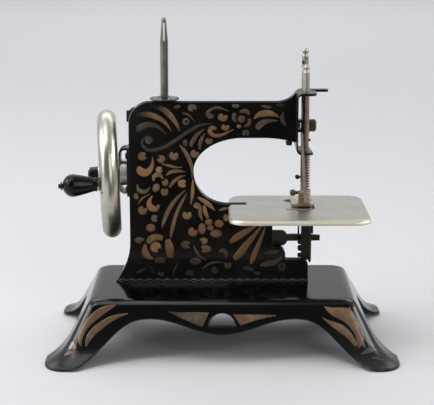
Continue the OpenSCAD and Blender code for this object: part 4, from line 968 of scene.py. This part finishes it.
# Presser foot: brass-brown steel, its collar and upright rubbed to copper, its sole nickel on the
# upper face; the clamp screw is dark.
foot_steel = metal("foot_steel", bright=(0.60, 0.46, 0.34), dull=(0.33, 0.225, 0.15),
                   smooth_at=0.36, rough_at=0.52, scale=260.0)
turn_tone(foot_steel, tone=(0.46, 0.42, 0.36), by="Height", low=0.0685, high=0.0675)
dress(foot_steel, "presser_foot")
dress(shaft_steel, "foot_screw")

# Foot strip: a thin ribbon of steel that slants down to the foot in front of the head and moves
# with it. It is bright, and has gone pink with copper.
ribbon_steel = metal("ribbon_steel", bright=(0.68, 0.575, 0.50), dull=(0.44, 0.345, 0.28),
                     smooth_at=0.36, rough_at=0.5, scale=150.0)
dress(ribbon_steel, "foot_strip")

# Presser spring: one length of wire, wound to the left in thirteen open turns on the presser bar,
# with painted shade on the inside of the coil.
spring_steel = metal("spring_steel", bright=(0.24, 0.185, 0.155), dull=(0.12, 0.09, 0.078),
                     smooth_at=0.28, rough_at=0.46, scale=160.0, soften=0.0001)
low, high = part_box("presser_spring")
axis_x, axis_y = (low.x + high.x) / 2, 0.0005
tree = spring_steel.node_tree
# Painted shade: the side of the wire that faces the bar is darkened.
radius = use(tree, from_axis, Level=(1.0, 1.0, 0.0), Centre=(axis_x, axis_y, 0.0))
inward_shade = place(tree, "MapRange", {"From Min": 0.00228, "From Max": 0.00212})
connect(tree, (radius, "Distance", inward_shade, "Value"))
lay_over(spring_steel, inward_shade.outputs["Result"], colour=(0.018, 0.013, 0.01))
wire = 0.0003
coil_r = (high.x - low.x) / 2 - wire
turns, per_turn, sides = 13, 32, 12
foot_z, head_z = low.z + wire, high.z - wire
route = []
for i in range(turns * per_turn + 1):
    a = -2 * math.pi * i / per_turn
    route.append(Vector((axis_x + coil_r * math.cos(a), axis_y + coil_r * math.sin(a),
                         foot_z + (head_z - foot_z) * i / (turns * per_turn))))
points, faces = [], []
for i, spot in enumerate(route):
    ahead = (route[min(i + 1, len(route) - 1)] - route[max(i - 1, 0)]).normalized()
    outward = Vector((spot.x - axis_x, spot.y - axis_y, 0)).normalized()
    outward = (outward - ahead * outward.dot(ahead)).normalized()
    upward = ahead.cross(outward)
    for k in range(sides):
        a = 2 * math.pi * k / sides
        points.append(spot + wire * (outward * math.cos(a) + upward * math.sin(a)))
    if i:
        for k in range(sides):
            n = (k + 1) % sides
            faces.append(((i - 1) * sides + k, (i - 1) * sides + n, i * sides + n, i * sides + k))
faces.append(tuple(range(sides - 1, -1, -1)))
faces.append(tuple((len(route) - 1) * sides + k for k in range(sides)))
spring = new_piece("spring_coil", points, faces, spring_steel)
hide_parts("presser_spring")
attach(spring, "frame")
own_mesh(spring)
